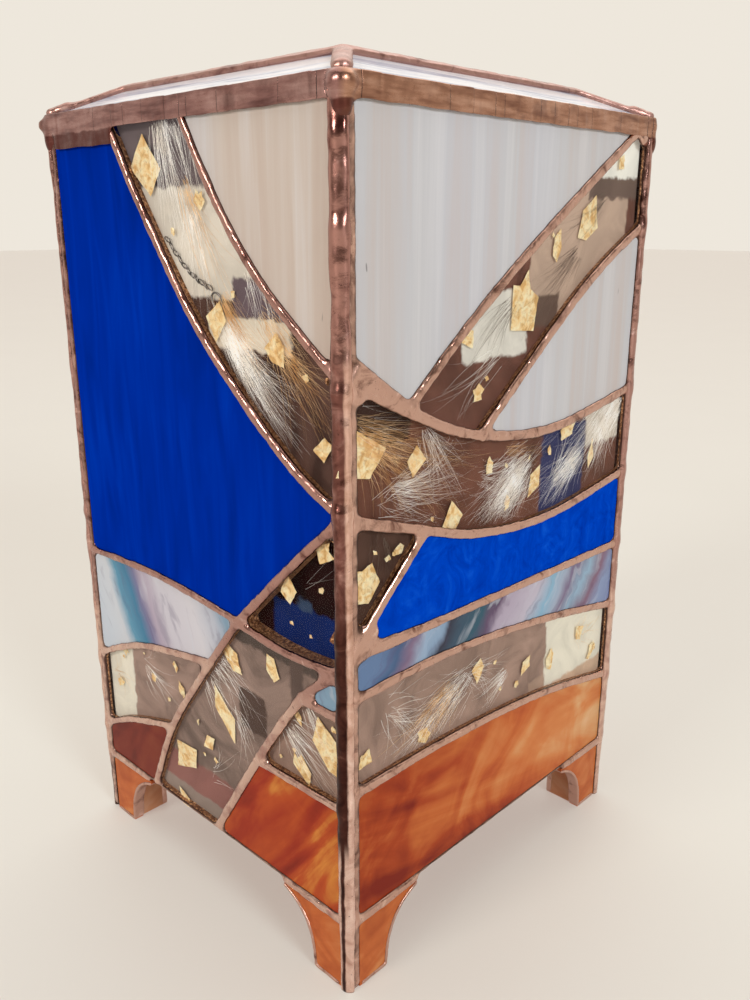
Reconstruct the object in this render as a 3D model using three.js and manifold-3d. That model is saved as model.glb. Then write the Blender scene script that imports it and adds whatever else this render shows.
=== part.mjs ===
// Stained glass lantern, made by the copper foil method. Millimetres, +Z up.
// The origin is on the floor, in the middle of the four feet. -Y is the front.
//
// Each wall is a panel of glass pieces cut from one sheet along its seams. A lattice of soldered
// copper foil holds them, corner seams join the four walls, and a rim band joins them to a low hipped
// roof. Clear pieces are double: two panes with fur and gold leaf between them, so they are thicker.

import * as THREE from 'three';
import { mergeVertices } from 'three/addons/utils/BufferGeometryUtils.js';
import Module from 'manifold-3d';

const wasm = await Module();
wasm.setup();

// Driving dimensions
const WIDTH = 114;             // front and back walls, across their outer faces
const DEPTH = 120;             // side walls
const FOOT_TOP = 20.2;         // top edge of the foot glass
const WALL_BOTTOM = 21.8;      // lower edge of the wall glass
const WALL_TOP = 211.2;        // upper edge of the wall glass, inside the rim band
const RIM_BOTTOM = 210.2;
const RIM_TOP = 215.5;
const RIM_ROUND = 2;           // radius of the rim's corners in plan
const ROOF_MARGIN = 16;        // plan width of the sloping roof strips
const ROOF_START = 0.8;        // from a wall's outer face to the outer edge of the roof glass
const ROOF_EAVES = 215.2;      // outer surface of the roof where it meets the rim
const ROOF_TOP = 221.8;        // outer surface of the flat top pane

const GLASS = 3;               // one pane
const CLEAR_GLASS = 7;         // two panes with the space between them
const CUT = 1.6;               // width of a cut between two glass pieces
const FIT = 0.3;               // gap between glass and solder
const BEAD = 1.1;              // how far solder stands out from the glass, inside and outside
const BORDER_LAP = 1.2;        // how far the lower border laps over the glass above and below it
const SEAM = 3.2;              // width of a soldered seam on a wall
const HIP_SEAM = 4;            // width of a seam on the roof
const EDGE = 3.3;              // from a corner of the box to the edge of the wall glass
const CORNER_SEAM = 4.4;       // from a corner of the box to the edge of its corner seam
const CLEAR_EDGE = 7.6;        // from a corner of the box to the inner pane of a clear piece
const CLEAR_LOW = 24.5;        // lowest and highest points of the inner panes
const CLEAR_HIGH = 208.5;
const CURVE_STEPS = 9;         // straight steps along a curved seam
const FOOT_STEPS = 6;          // straight steps round the inner edge of a foot
const FLAT = 0.9;              // from a corner of the box to the edges of the flat on its corner seam

const FOOT_WIDTH = 13;         // a foot at the floor
const FOOT_SPREAD = 25;        // a foot at its top
const FOOT_STEP = 0.5;         // how far its inner panes stand back from the edge of the outer ones
const FOOT_LIP = 1;            // height of the straight edge at the end of the spread
const FOOT_BEND = 5;           // sets how late the inner edge of a foot curves out
const WIDE_BAND_END = 33;      // the rim band is deeper over the first stretch of the front wall
const WIDE_BAND_BOTTOM = 206.4;

// Sizes that follow from the ones above
const ABOVE = ROOF_TOP + 5;    // clear above the whole lantern
const ROOF_SLOPE = (ROOF_TOP - ROOF_EAVES) / (ROOF_MARGIN - ROOF_START);
const ROOF_THICK = GLASS * Math.hypot(1, ROOF_SLOPE);

// Colours and finishes
const COPPER = { color: 0xa5674f, roughness: 0.35, metalness: 1 };
const COBALT = { color: 0x0a2f9e, roughness: 0.2, metalness: 0 };
const WHITE = { color: 0xdcd6d8, roughness: 0.25, metalness: 0 };
const CLEAR = { color: 0x9c8f86, roughness: 0.1, metalness: 0 };
const IRIDESCENT = { color: 0x7f8fb8, roughness: 0.2, metalness: 0 };
const AMBER = { color: 0xc25a22, roughness: 0.25, metalness: 0 };

// Walls, in order round the box. A wall is drawn in its own frame: x runs to the right as seen from
// outside, y runs inwards from the outer face and z is up.
const WALLS = {
  front: { length: WIDTH, turn: 0, corner: [-WIDTH / 2, -DEPTH / 2] },
  right: { length: DEPTH, turn: 1, corner: [WIDTH / 2, -DEPTH / 2] },
  back: { length: WIDTH, turn: 2, corner: [WIDTH / 2, DEPTH / 2] },
  left: { length: DEPTH, turn: 3, corner: [-WIDTH / 2, DEPTH / 2] },
};

// The seams of each wall, as points that a smooth curve runs through. A deep seam borders a clear piece.
// Where a seam ends on a corner it runs on past it, and the corner seam covers its end.
const SEAMS = {
  front: [
    { deep: true, points: [[28, 216], [43, 192], [66, 162], [95, 137], [116, 126]] },
    { deep: true, points: [[59, 216], [74, 192], [90, 174], [116, 154]] },
    { deep: true, points: [[116, 130], [95, 111], [74, 90.5]] },
    { deep: false, points: [[-2, 92], [38, 93.5], [74, 91]] },
    { deep: true, points: [[74, 90.5], [94, 88.5], [116, 90]] },
    { deep: true, points: [[74, 90.5], [54.5, 66], [39.5, 45], [26.5, 17]] },
    { deep: true, points: [[113, 91], [98.5, 78.5], [82, 56], [57, 17]] },
    { deep: true, points: [[-2, 55], [14, 63], [31, 69], [61, 74.5]] },
    { deep: true, points: [[-2, 29.5], [15.5, 38.5], [40.5, 46.5]] },
    { deep: true, points: [[98, 78], [116, 78]] },
    { deep: true, points: [[80, 53], [116, 53.5]] },
  ],
  right: [
    { deep: true, points: [[-2, 161], [24, 146], [47, 138], [79, 135], [122, 141.5]] },
    { deep: true, points: [[-2, 127.5], [23, 119.5], [47, 112.5], [79, 110], [122, 115.5]] },
    { deep: true, points: [[116, 214], [69, 185], [40, 165], [19, 148]] },
    { deep: true, points: [[122, 189], [89, 171], [46, 138]] },
    { deep: true, points: [[26, 118], [14, 107], [-2, 91]] },
    { deep: false, points: [[3, 95], [22, 93.5], [122, 91.5]] },
    { deep: true, points: [[-2, 83], [36, 83], [80, 78], [122, 70]] },
    { deep: true, points: [[-2, 58], [36, 57.5], [80, 53.5], [122, 45]] },
  ],
  back: [
    { deep: true, points: [[-2, 141], [34, 151], [66, 175], [86, 216]] },
    { deep: true, points: [[-2, 115], [44, 125], [84, 153], [116, 196]] },
    { deep: false, points: [[-2, 91.5], [116, 92]] },
    { deep: false, points: [[22, 119], [48, 108], [80, 91.5]] },
    { deep: true, points: [[-2, 70], [56, 66], [116, 52]] },
    { deep: true, points: [[-2, 45.5], [56, 43], [116, 31]] },
  ],
  left: [
    { deep: true, points: [[-2, 193], [36, 168], [76, 158], [100, 174], [112, 216]] },
    { deep: true, points: [[-2, 160], [36, 138], [80, 126], [122, 120]] },
    { deep: false, points: [[-2, 92], [122, 92]] },
    { deep: true, points: [[-2, 52], [60, 62], [122, 55]] },
    { deep: true, points: [[-2, 31], [60, 38], [122, 29.5]] },
  ],
};

// The glass pieces of each wall: name, kind, and a point inside the piece.
const PIECES = {
  front: [
    ['cobalt_panel', COBALT, [30, 140]],
    ['clear_ribbon', CLEAR, [70, 180]],
    ['white_panel', WHITE, [100, 195]],
    ['clear_wedge', CLEAR, [104, 104]],
    ['wispy_piece', IRIDESCENT, [30, 82]],
    ['clear_strip', CLEAR, [25, 54]],
    ['amber_corner', AMBER, [18, 30]],
    ['clear_band', CLEAR, [64, 55]],
    ['wispy_triangle', IRIDESCENT, [108, 82]],
    ['clear_triangle', CLEAR, [102, 65]],
    ['amber_panel', AMBER, [95, 35]],
  ],
  right: [
    ['white_panel', WHITE, [40, 190]],
    ['clear_diagonal', CLEAR, [70, 172]],
    ['white_triangle', WHITE, [100, 155]],
    ['clear_ribbon', CLEAR, [60, 124]],
    ['cobalt_strip', COBALT, [70, 101]],
    ['clear_wedge', CLEAR, [8, 112]],
    ['wispy_strip', IRIDESCENT, [60, 87]],
    ['clear_strip', CLEAR, [60, 68]],
    ['amber_panel', AMBER, [60, 38]],
  ],
  back: [
    ['white_panel', WHITE, [25, 185]],
    ['clear_ribbon', CLEAR, [60, 152]],
    ['amber_arc', AMBER, [95, 120]],
    ['cobalt_wedge', COBALT, [20, 104]],
    ['wispy_strip', IRIDESCENT, [60, 80]],
    ['clear_strip', CLEAR, [60, 55]],
    ['amber_panel', AMBER, [60, 32]],
  ],
  left: [
    ['cobalt_panel', COBALT, [60, 195]],
    ['clear_ribbon', CLEAR, [60, 148]],
    ['white_panel', WHITE, [60, 110]],
    ['wispy_strip', IRIDESCENT, [60, 78]],
    ['clear_strip', CLEAR, [60, 50]],
    ['amber_panel', AMBER, [60, 30]],
  ],
};

const group = new THREE.Group();

// Turns a closed three.js geometry into a solid.
function solid(geometry) {
  const plain = geometry.index ? geometry.toNonIndexed() : geometry.clone();
  plain.deleteAttribute('normal');
  plain.deleteAttribute('uv');
  const merged = mergeVertices(plain, 1e-4);
  return new wasm.Manifold(new wasm.Mesh({
    numProp: 3,
    vertProperties: new Float32Array(merged.attributes.position.array),
    triVerts: new Uint32Array(merged.index.array),
  }));
}

function join(solids) {
  return solids.reduce((sum, next) => sum.add(next));
}

function cut(body, solids) {
  return solids.reduce((rest, next) => rest.subtract(next), body);
}

// Adds a solid to the object as a named mesh.
function addMesh(name, body, finish, place) {
  const mesh = body.getMesh();
  const geometry = new THREE.BufferGeometry();
  geometry.setAttribute('position', new THREE.BufferAttribute(new Float32Array(mesh.vertProperties), 3));
  geometry.setIndex(new THREE.BufferAttribute(new Uint32Array(mesh.triVerts), 1));
  geometry.computeVertexNormals();
  const part = new THREE.Mesh(geometry, new THREE.MeshStandardMaterial(finish));
  part.name = name;
  place.add(part);
}

// A group standing in a wall's frame.
function wallFrame(wall) {
  const frame = new THREE.Group();
  frame.position.set(wall.corner[0], wall.corner[1], 0);
  frame.rotation.z = wall.turn * Math.PI / 2;
  group.add(frame);
  return frame;
}

// A box in a wall's frame, from its low corner to its high corner.
function block(low, high) {
  const size = high.map((value, axis) => value - low[axis]);
  const middle = high.map((value, axis) => (value + low[axis]) / 2);
  return solid(new THREE.BoxGeometry(...size).translate(...middle));
}

// An outline in x and z of a wall's frame, made solid between two depths.
function slab(outline, outer, inner) {
  const shape = new THREE.Shape(outline.map(([x, z]) => new THREE.Vector2(x, z)));
  const geometry = new THREE.ExtrudeGeometry(shape, { depth: inner - outer, bevelEnabled: false });
  return solid(geometry.rotateX(Math.PI / 2).translate(0, inner, 0));
}

// An outline in plan, made solid between two heights.
function column(outline, bottom, top) {
  const shape = new THREE.Shape(outline.map(([x, y]) => new THREE.Vector2(x, y)));
  const geometry = new THREE.ExtrudeGeometry(shape, { depth: top - bottom, bevelEnabled: false });
  return solid(geometry.translate(0, 0, bottom));
}

// The outline of a stripe of even width along a smooth curve.
function stripe(points, width) {
  const curve = new THREE.SplineCurve(points.map(([x, z]) => new THREE.Vector2(x, z)));
  const steps = points.length > 2 ? CURVE_STEPS : 1;
  const left = [];
  const right = [];
  for (let i = 0; i <= steps; i += 1) {
    const at = curve.getPoint(i / steps);
    const along = curve.getTangent(i / steps);
    left.push([at.x - along.y * width / 2, at.y + along.x * width / 2]);
    right.unshift([at.x + along.y * width / 2, at.y - along.x * width / 2]);
  }
  return [...left, ...right];
}

// The glass of a wall before its seams are cut, grown by a gap on every side. A clear piece has a second
// pane, which stops short of the corners so that it clears the one on the next wall.
function sheet(length, clear, gap) {
  const front = block(
    [EDGE - gap, -gap, WALL_BOTTOM - gap],
    [length - EDGE + gap, GLASS + gap, WALL_TOP + gap],
  );
  if (!clear) {
    return front;
  }
  const back = block(
    [CLEAR_EDGE - gap, GLASS / 2, CLEAR_LOW - gap],
    [length - CLEAR_EDGE + gap, CLEAR_GLASS + gap, CLEAR_HIGH + gap],
  );
  return front.add(back);
}

// The pieces of a wall, cut from its sheets, grown by a gap on every side.
function cutPieces(side, gap) {
  const { length } = WALLS[side];
  const cuts = SEAMS[side].map(({ points }) => (
    slab(stripe(points, CUT - 2 * gap), -GLASS, CLEAR_GLASS + GLASS)
  ));
  const thin = cut(sheet(length, false, gap), cuts).decompose();
  const thick = cut(sheet(length, true, gap), cuts).decompose();
  return PIECES[side].map(([name, kind, [x, z]]) => {
    const probe = block([x, 1, z], [x + 1, 2, z + 1]);
    const found = (kind === CLEAR ? thick : thin).find((piece) => piece.intersect(probe).volume() > 0);
    if (!found) {
      throw new Error(`no glass at ${side} ${name}`);
    }
    return { name, kind, body: found };
  });
}

// One pane of a foot, in a wall's frame, with the concave inner edge of a bracket foot.
function footPane(length, atEnd, gap) {
  const low = EDGE - gap;
  const edge = new THREE.CubicBezierCurve(
    new THREE.Vector2(FOOT_WIDTH + gap, -gap),
    new THREE.Vector2(FOOT_WIDTH + gap, FOOT_TOP * 0.6 - gap),
    new THREE.Vector2(FOOT_WIDTH + FOOT_BEND + gap, FOOT_TOP * 0.85 - gap),
    new THREE.Vector2(FOOT_SPREAD + gap, FOOT_TOP - FOOT_LIP - gap),
  );
  const outline = [[low, -gap]];
  edge.getPoints(FOOT_STEPS).forEach(({ x, y }) => outline.push([x, y]));
  outline.push([FOOT_SPREAD + gap, FOOT_TOP + gap], [low, FOOT_TOP + gap]);
  const placed = atEnd ? outline.map(([x, z]) => [length - x, z]).reverse() : outline;
  return slab(placed, -gap, GLASS + gap);
}

// The soldered lattice of a wall. Its lower border is wider over the feet, and a strip of foil up each
// side of the inner face ties the seams together.
function lattice(side, glass) {
  const { length } = WALLS[side];
  const wide = CORNER_SEAM + FIT;
  const deepest = CLEAR_GLASS + BEAD;
  const low = WALL_BOTTOM - BORDER_LAP;
  const seams = join(SEAMS[side].map(({ points }) => slab(stripe(points, SEAM), -BEAD, GLASS + BEAD)))
    .intersect(block([0, -BEAD, low], [length, GLASS + BEAD, RIM_BOTTOM]));
  const deep = SEAMS[side].filter((seam) => seam.deep)
    .map(({ points }) => slab(stripe(points, SEAM), GLASS, deepest));
  const border = block([0, -BEAD, low], [length, GLASS + BEAD, WALL_BOTTOM + BORDER_LAP]);
  const underFoot = FOOT_TOP - BORDER_LAP;
  const overFeet = [
    block([0, -BEAD, underFoot], [FOOT_SPREAD, GLASS + BEAD, WALL_BOTTOM + 1]),
    block([length - FOOT_SPREAD, -BEAD, underFoot], [length, GLASS + BEAD, WALL_BOTTOM + 1]),
  ];
  const sides = [
    block([wide, GLASS, low], [CLEAR_EDGE, GLASS + BEAD, RIM_BOTTOM]),
    block([length - CLEAR_EDGE, GLASS, low], [length - wide, GLASS + BEAD, RIM_BOTTOM]),
  ];
  const frontHalf = join([seams, border, ...overFeet, ...sides]).intersect(block(
    [wide, -BEAD, underFoot],
    [length - wide, GLASS + BEAD, RIM_BOTTOM - FIT],
  ));
  const backHalf = join(deep).intersect(block(
    [CLEAR_EDGE + 1, GLASS, low],
    [length - CLEAR_EDGE - 1, deepest, CLEAR_HIGH + 1],
  ));
  const feet = [footPane(length, false, FIT), footPane(length, true, FIT)];
  const whole = cut(frontHalf.add(backHalf), [...glass, ...feet]);
  if (side !== 'front') {
    return whole;
  }
  return whole.subtract(block(
    [0, -BEAD - 1, WIDE_BAND_BOTTOM - FIT],
    [WIDE_BAND_END + FIT, FIT, RIM_TOP],
  ));
}

// A corner seam, drawn at the corner where a wall's frame begins. It stands on the floor.
function cornerSeam() {
  const outline = [
    [-BEAD, CORNER_SEAM], [-BEAD, FLAT], [FLAT, -BEAD], [CORNER_SEAM, -BEAD], [CORNER_SEAM, CORNER_SEAM],
  ];
  const bar = column(outline, 0, RIM_BOTTOM - FIT);
  const wallSlot = block([EDGE - FIT, -FIT, WALL_BOTTOM - FIT], [2 * EDGE, GLASS + FIT, WALL_TOP]);
  const footSlot = block([EDGE - FIT, -FIT, -1], [2 * EDGE, GLASS + FIT, FOOT_TOP + FIT]);
  const onThisWall = [wallSlot, footSlot];
  const onWallBefore = onThisWall.map((slot) => slot.mirror([1, -1, 0]));
  return cut(bar, [...onThisWall, ...onWallBefore]);
}

// A box in plan, with sloping sides from one half size to another.
function frustum(halfX, halfY, bottom, inset, top) {
  const geometry = new THREE.BoxGeometry(2, 2, 2);
  const at = geometry.attributes.position;
  for (let i = 0; i < at.count; i += 1) {
    const upper = at.getZ(i) > 0;
    const less = upper ? inset : 0;
    at.setXYZ(i, at.getX(i) * (halfX - less), at.getY(i) * (halfY - less), upper ? top : bottom);
  }
  return solid(geometry);
}

// A sloping roof strip, in a wall's frame.
function roofStrip(length, gap) {
  const start = ROOF_START - gap;
  const end = ROOF_MARGIN - CUT / 2 + gap;
  const height = (depth) => ROOF_EAVES + ROOF_SLOPE * (depth - ROOF_START);
  const rise = gap * Math.hypot(1, ROOF_SLOPE);
  const profile = new THREE.Shape([
    new THREE.Vector2(start, height(start) - ROOF_THICK - rise),
    new THREE.Vector2(end, height(end) - ROOF_THICK - rise),
    new THREE.Vector2(end, height(end) + rise),
    new THREE.Vector2(start, height(start) + rise),
  ]);
  const bar = solid(new THREE.ExtrudeGeometry(profile, { depth: length, bevelEnabled: false })
    .applyMatrix4(new THREE.Matrix4().set(0, 0, 1, 0, 1, 0, 0, 0, 0, 1, 0, 0, 0, 0, 0, 1)));
  const mitre = (CUT / 2 - gap) * Math.SQRT2;
  const plan = [
    [mitre, 0], [length - mitre, 0],
    [length - mitre - ROOF_MARGIN, ROOF_MARGIN], [mitre + ROOF_MARGIN, ROOF_MARGIN],
  ];
  return bar.intersect(column(plan, 0, ABOVE));
}

// The flat pane in the middle of the roof, grown by a gap.
function roofTop(gap) {
  const inset = ROOF_MARGIN + CUT / 2 - gap;
  return block(
    [inset - WIDTH / 2, inset - DEPTH / 2, ROOF_TOP - GLASS - gap],
    [WIDTH / 2 - inset, DEPTH / 2 - inset, ROOF_TOP + gap],
  );
}

// Places a solid of a wall's frame in the object's frame.
function placed(body, wall) {
  return body.rotate([0, 0, wall.turn * 90]).translate([wall.corner[0], wall.corner[1], 0]);
}

const walls = Object.values(WALLS);
const roofGlass = [...walls.map((wall) => placed(roofStrip(wall.length, FIT), wall)), roofTop(FIT)];

// The rim band: a square ring with rounded corners, grooved for the wall glass and the roof glass.
function rim(gap) {
  const halfX = WIDTH / 2 + BEAD + gap;
  const halfY = DEPTH / 2 + BEAD + gap;
  const outline = new THREE.Shape();
  outline.absarc(halfX - RIM_ROUND, halfY - RIM_ROUND, RIM_ROUND, 0, Math.PI / 2);
  outline.absarc(RIM_ROUND - halfX, halfY - RIM_ROUND, RIM_ROUND, Math.PI / 2, Math.PI);
  outline.absarc(RIM_ROUND - halfX, RIM_ROUND - halfY, RIM_ROUND, Math.PI, 1.5 * Math.PI);
  outline.absarc(halfX - RIM_ROUND, RIM_ROUND - halfY, RIM_ROUND, 1.5 * Math.PI, 2 * Math.PI);
  const outer = outline.getPoints(3).map(({ x, y }) => [x, y]);
  const inset = CORNER_SEAM + gap;
  const ring = column(outer, RIM_BOTTOM - gap, RIM_TOP + gap).subtract(block(
    [inset - WIDTH / 2, inset - DEPTH / 2, 0],
    [WIDTH / 2 - inset, DEPTH / 2 - inset, ABOVE],
  ));
  const deepPart = placed(block(
    [CORNER_SEAM + FIT - gap, -BEAD - gap, WIDE_BAND_BOTTOM - gap],
    [WIDE_BAND_END + gap, 0, RIM_BOTTOM + 1],
  ), WALLS.front);
  return ring.add(deepPart);
}

// The soldered seams of the roof: four hips and a square round the flat pane.
function roofSeams() {
  const below = ROOF_THICK + BEAD;
  const surface = (rise) => frustum(
    WIDTH / 2 - ROOF_START,
    DEPTH / 2 - ROOF_START,
    ROOF_EAVES + rise,
    ROOF_MARGIN - ROOF_START,
    ROOF_TOP + rise,
  );
  const shell = surface(BEAD).subtract(surface(-below));
  const hips = [[-1, -1], [1, -1], [1, 1], [-1, 1]].map(([x, y]) => {
    const corner = [x * WIDTH / 2, y * DEPTH / 2];
    const start = [corner[0] - x * GLASS, corner[1] - y * GLASS];
    const end = [corner[0] - x * ROOF_MARGIN, corner[1] - y * ROOF_MARGIN];
    return column(stripe([start, end], HIP_SEAM), RIM_BOTTOM, ABOVE);
  });
  const ringOuter = ROOF_MARGIN - HIP_SEAM / 2;
  const ringInner = ROOF_MARGIN + HIP_SEAM / 2;
  const ring = block(
    [ringOuter - WIDTH / 2, ringOuter - DEPTH / 2, RIM_BOTTOM],
    [WIDTH / 2 - ringOuter, DEPTH / 2 - ringOuter, ABOVE],
  ).subtract(block(
    [ringInner - WIDTH / 2, ringInner - DEPTH / 2, 0],
    [WIDTH / 2 - ringInner, DEPTH / 2 - ringInner, ABOVE + 1],
  ));
  return cut(join([...hips, ring]).intersect(shell), [...roofGlass, rim(FIT)]);
}

// The inner panes of a foot, soldered at a right angle, so that the foot is a square tube.
function footInner() {
  const near = GLASS + FIT;
  const far = FOOT_WIDTH - FOOT_STEP;
  const inside = far - GLASS;
  const outline = [[far, near], [far, far], [near, far], [near, inside], [inside, inside], [inside, near]];
  return column(outline, 0, FOOT_TOP - BORDER_LAP - FIT);
}

function buildWall(side) {
  const wall = WALLS[side];
  const frame = wallFrame(wall);
  cutPieces(side, 0).forEach(({ name, kind, body }) => addMesh(`${side}_${name}`, body, kind, frame));
  const grown = cutPieces(side, FIT).map(({ body }) => body);
  addMesh(`${side}_seams`, lattice(side, grown), COPPER, frame);
}

// Everything at the corner where a wall begins: the corner seam and the foot under it.
function buildCorner(name, side, sideBefore) {
  const frame = wallFrame(WALLS[side]);
  const frameBefore = wallFrame(WALLS[sideBefore]);
  addMesh(`${name}_corner_seam`, cornerSeam(), COPPER, frame);
  addMesh(`${name}_foot_${side}_pane`, footPane(WALLS[side].length, false, 0), AMBER, frame);
  const before = footPane(WALLS[sideBefore].length, true, 0);
  addMesh(`${name}_foot_${sideBefore}_pane`, before, AMBER, frameBefore);
  addMesh(`${name}_foot_inner_panes`, footInner(), AMBER, frame);
}

function buildRoof() {
  Object.entries(WALLS).forEach(([side, wall]) => {
    addMesh(`roof_${side}_strip`, roofStrip(wall.length, 0), WHITE, wallFrame(wall));
  });
  addMesh('roof_top_pane', roofTop(0), WHITE, group);
  addMesh('roof_seams', roofSeams(), COPPER, group);
  const wallGlass = walls.map((wall) => placed(sheet(wall.length, false, FIT), wall));
  addMesh('rim_band', cut(rim(0), [...wallGlass, ...roofGlass]), COPPER, group);
}

Object.keys(WALLS).forEach(buildWall);
buildCorner('front_left', 'front', 'left');
buildCorner('front_right', 'right', 'front');
buildCorner('back_right', 'back', 'right');
buildCorner('back_left', 'left', 'back');
buildRoof();

export default group;
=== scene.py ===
"""The looks of the stained glass lantern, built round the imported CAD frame.

The coloured glass of the CAD model stays and gets its materials. The soldered seams are made again as
uneven, rounded solder along the lines of their CAD nodes. Each clear piece becomes two thin panes with fur
and gold leaf between them, and the upper front one also holds a keepsake chain.
Lengths in the code are in millimetres unless a name says otherwise. A place on a wall is (along, up), and
along runs from the wall's left corner as it is seen from outside.
"""

import math
import random

import bmesh
import bpy
import numpy as np
from mathutils import Matrix, Vector, noise
from mathutils.bvhtree import BVHTree


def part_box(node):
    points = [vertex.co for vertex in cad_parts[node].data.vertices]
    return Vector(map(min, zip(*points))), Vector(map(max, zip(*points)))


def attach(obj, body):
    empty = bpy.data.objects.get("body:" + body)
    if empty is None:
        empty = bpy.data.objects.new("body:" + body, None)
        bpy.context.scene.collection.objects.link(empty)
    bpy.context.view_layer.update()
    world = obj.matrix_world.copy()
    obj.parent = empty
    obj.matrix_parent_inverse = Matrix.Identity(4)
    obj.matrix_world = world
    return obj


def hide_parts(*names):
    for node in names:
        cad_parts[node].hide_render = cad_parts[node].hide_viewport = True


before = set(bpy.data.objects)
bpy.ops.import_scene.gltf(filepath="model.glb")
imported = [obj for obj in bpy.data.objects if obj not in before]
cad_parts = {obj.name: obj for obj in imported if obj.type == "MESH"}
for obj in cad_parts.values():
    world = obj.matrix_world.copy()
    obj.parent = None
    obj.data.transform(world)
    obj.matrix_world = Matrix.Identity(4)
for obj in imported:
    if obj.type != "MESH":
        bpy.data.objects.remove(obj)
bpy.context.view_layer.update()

MM = 0.001
SIDES = ("front", "right", "back", "left")
HALF_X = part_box("right_white_panel")[1].x / MM
HALF_Y = -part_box("front_cobalt_panel")[0].y / MM
CORNERS = {
    "front": (-HALF_X, -HALF_Y),
    "right": (HALF_X, -HALF_Y),
    "back": (HALF_X, HALF_Y),
    "left": (-HALF_X, HALF_Y),
}
LENGTHS = {"front": 2 * HALF_X, "right": 2 * HALF_Y, "back": 2 * HALF_X, "left": 2 * HALF_Y}
# Each corner post, with the wall that starts at it.
POSTS = {"front_left": "front", "front_right": "right", "back_right": "back", "back_left": "left"}

RIM_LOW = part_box("front_right_corner_seam")[1].z / MM
RIM_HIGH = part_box("rim_band")[1].z / MM
WALL_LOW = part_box("right_amber_panel")[0].z / MM
FOOT_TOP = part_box("front_right_foot_right_pane")[1].z / MM
FOOT_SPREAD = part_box("front_right_foot_right_pane")[1].y / MM + HALF_Y
SEAM_OVER_FOOT = (WALL_LOW + FOOT_TOP) / 2
FOOT_WIDTH = 13.0   # width of a foot on the floor
GLASS = 3.0         # thickness of the coloured glass
CLEAR_GLASS = 7.0   # thickness of a clear piece of the CAD model
OUTER_PANE = 0.6    # back of the outer pane of a clear piece
INNER_PANE = 1.7    # front of its inner pane; fur and gold leaf lie between the two
INNER_CORNER = 3.6  # from a corner of the box to the edge of an inner pane
ROOF_RUN = 16.0     # from a wall to the seam round the top pane of the roof
VOXEL = 0.5         # the grain that solder is cast at
SEAM_END = 2        # from a corner to where the seams of a wall end, inside the corner post
JAMB = 3.5          # from a corner to the foil that shows on the end of the glass
FOIL_LAP = 0.35     # how far foil stands out from the glass it is folded round


# Places

def wall_matrix(side):
    """From a wall's own millimetres (along, inwards, up) to metres in the frame."""
    x, y = CORNERS[side]
    turn = Matrix.Rotation(SIDES.index(side) * math.pi / 2, 4, "Z")
    return Matrix.Scale(MM, 4) @ Matrix.Translation((x, y, 0)) @ turn


def side_of(node):
    """The wall that a glass node belongs to, or front or back for a foot."""
    return node.split("_")[0]


# Meshes

def link(data, name):
    """Puts a light, a camera or a mesh in the scene."""
    made = bpy.data.objects.new(name, data)
    bpy.context.scene.collection.objects.link(made)
    return made


def positions(mesh):
    """The vertices of a mesh as an array, in metres."""
    co = np.empty(len(mesh.vertices) * 3)
    mesh.vertices.foreach_get("co", co)
    return co.reshape(-1, 3)


def normals(mesh):
    """The vertex normals of a mesh as an array."""
    out = np.empty(len(mesh.vertices) * 3, np.float32)
    mesh.vertex_normals.foreach_get("vector", out)
    return out.reshape(-1, 3).astype(float)


def place(mesh, co):
    """Moves the vertices of a mesh to the given places, in metres."""
    mesh.vertices.foreach_set("co", co.ravel())
    mesh.update()


def grow(mesh, amount):
    """Moves every vertex out along its normal. amount is one length or one for each vertex."""
    place(mesh, positions(mesh) + normals(mesh) * MM * np.reshape(amount, (-1, 1)))


def roughen(mesh, amount, size, seed):
    """Dents a mesh by noise with features of the given size, and half as much by finer noise."""
    co = positions(mesh)
    grow(mesh, amount * (noise_at(co, size, seed) + 0.5 * noise_at(co, size * 0.4, seed + 1)))


def smooth(mesh, rounds):
    """Rounds a mesh off by moving each vertex half way to the middle of its neighbours."""
    edges = np.empty(len(mesh.edges) * 2, np.int64)
    mesh.edges.foreach_get("vertices", edges)
    a, b = edges.reshape(-1, 2).T
    co = positions(mesh)
    count = np.bincount(edges, minlength=len(co))[:, None]
    for _ in range(rounds):
        total = np.zeros_like(co)
        for axis in range(3):
            total[:, axis] = np.bincount(a, co[b, axis], len(co)) + np.bincount(b, co[a, axis], len(co))
        co += 0.5 * (total / count - co)
    place(mesh, co)


def remesh(mesh, grain=VOXEL):
    """The same solid as one skin of even small faces. Parts that overlap are joined."""
    holder = link(mesh, "holder")
    modifier = holder.modifiers.new("remesh", "REMESH")
    modifier.mode = "VOXEL"
    modifier.voxel_size = grain * MM
    graph = bpy.context.evaluated_depsgraph_get()
    made = bpy.data.meshes.new_from_object(holder.evaluated_get(graph))
    bpy.data.objects.remove(holder)
    return made


def mesh_from(bm):
    mesh = bpy.data.meshes.new("mesh")
    bm.to_mesh(mesh)
    bm.free()
    return mesh


def cad_mesh(node):
    """A bmesh of a CAD node, with its corners joined."""
    bm = bmesh.new()
    bm.from_mesh(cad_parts[node].data)
    bmesh.ops.remove_doubles(bm, verts=bm.verts, dist=1e-6)
    return bm


def add_ball(bm, matrix, centre, radii):
    """Adds an ellipsoid, placed in the millimetres of the given matrix, to a bmesh in metres."""
    shape = matrix @ Matrix.Translation(centre) @ Matrix.Diagonal((*radii, 1))
    bmesh.ops.create_icosphere(bm, subdivisions=3, radius=1, matrix=shape)


def join_rings(bm, rings):
    """Makes the faces between each ring of vertices and the next, and returns them."""
    count = len(rings[0])
    faces = []
    for a, b in zip(rings, rings[1:]):
        for k in range(count):
            n = (k + 1) % count
            faces.append(bm.faces.new((a[k], a[n], b[n], b[k])))
    return faces


def noise_at(points, size, seed):
    """Smooth noise between -1 and 1 at points in metres, with features of the given size."""
    scale = 1 / (size * MM)
    offset = Vector((seed * 17.3, seed * 5.1, seed * 29.7))
    return np.array([noise.noise(Vector(p) * scale + offset) for p in points])


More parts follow.
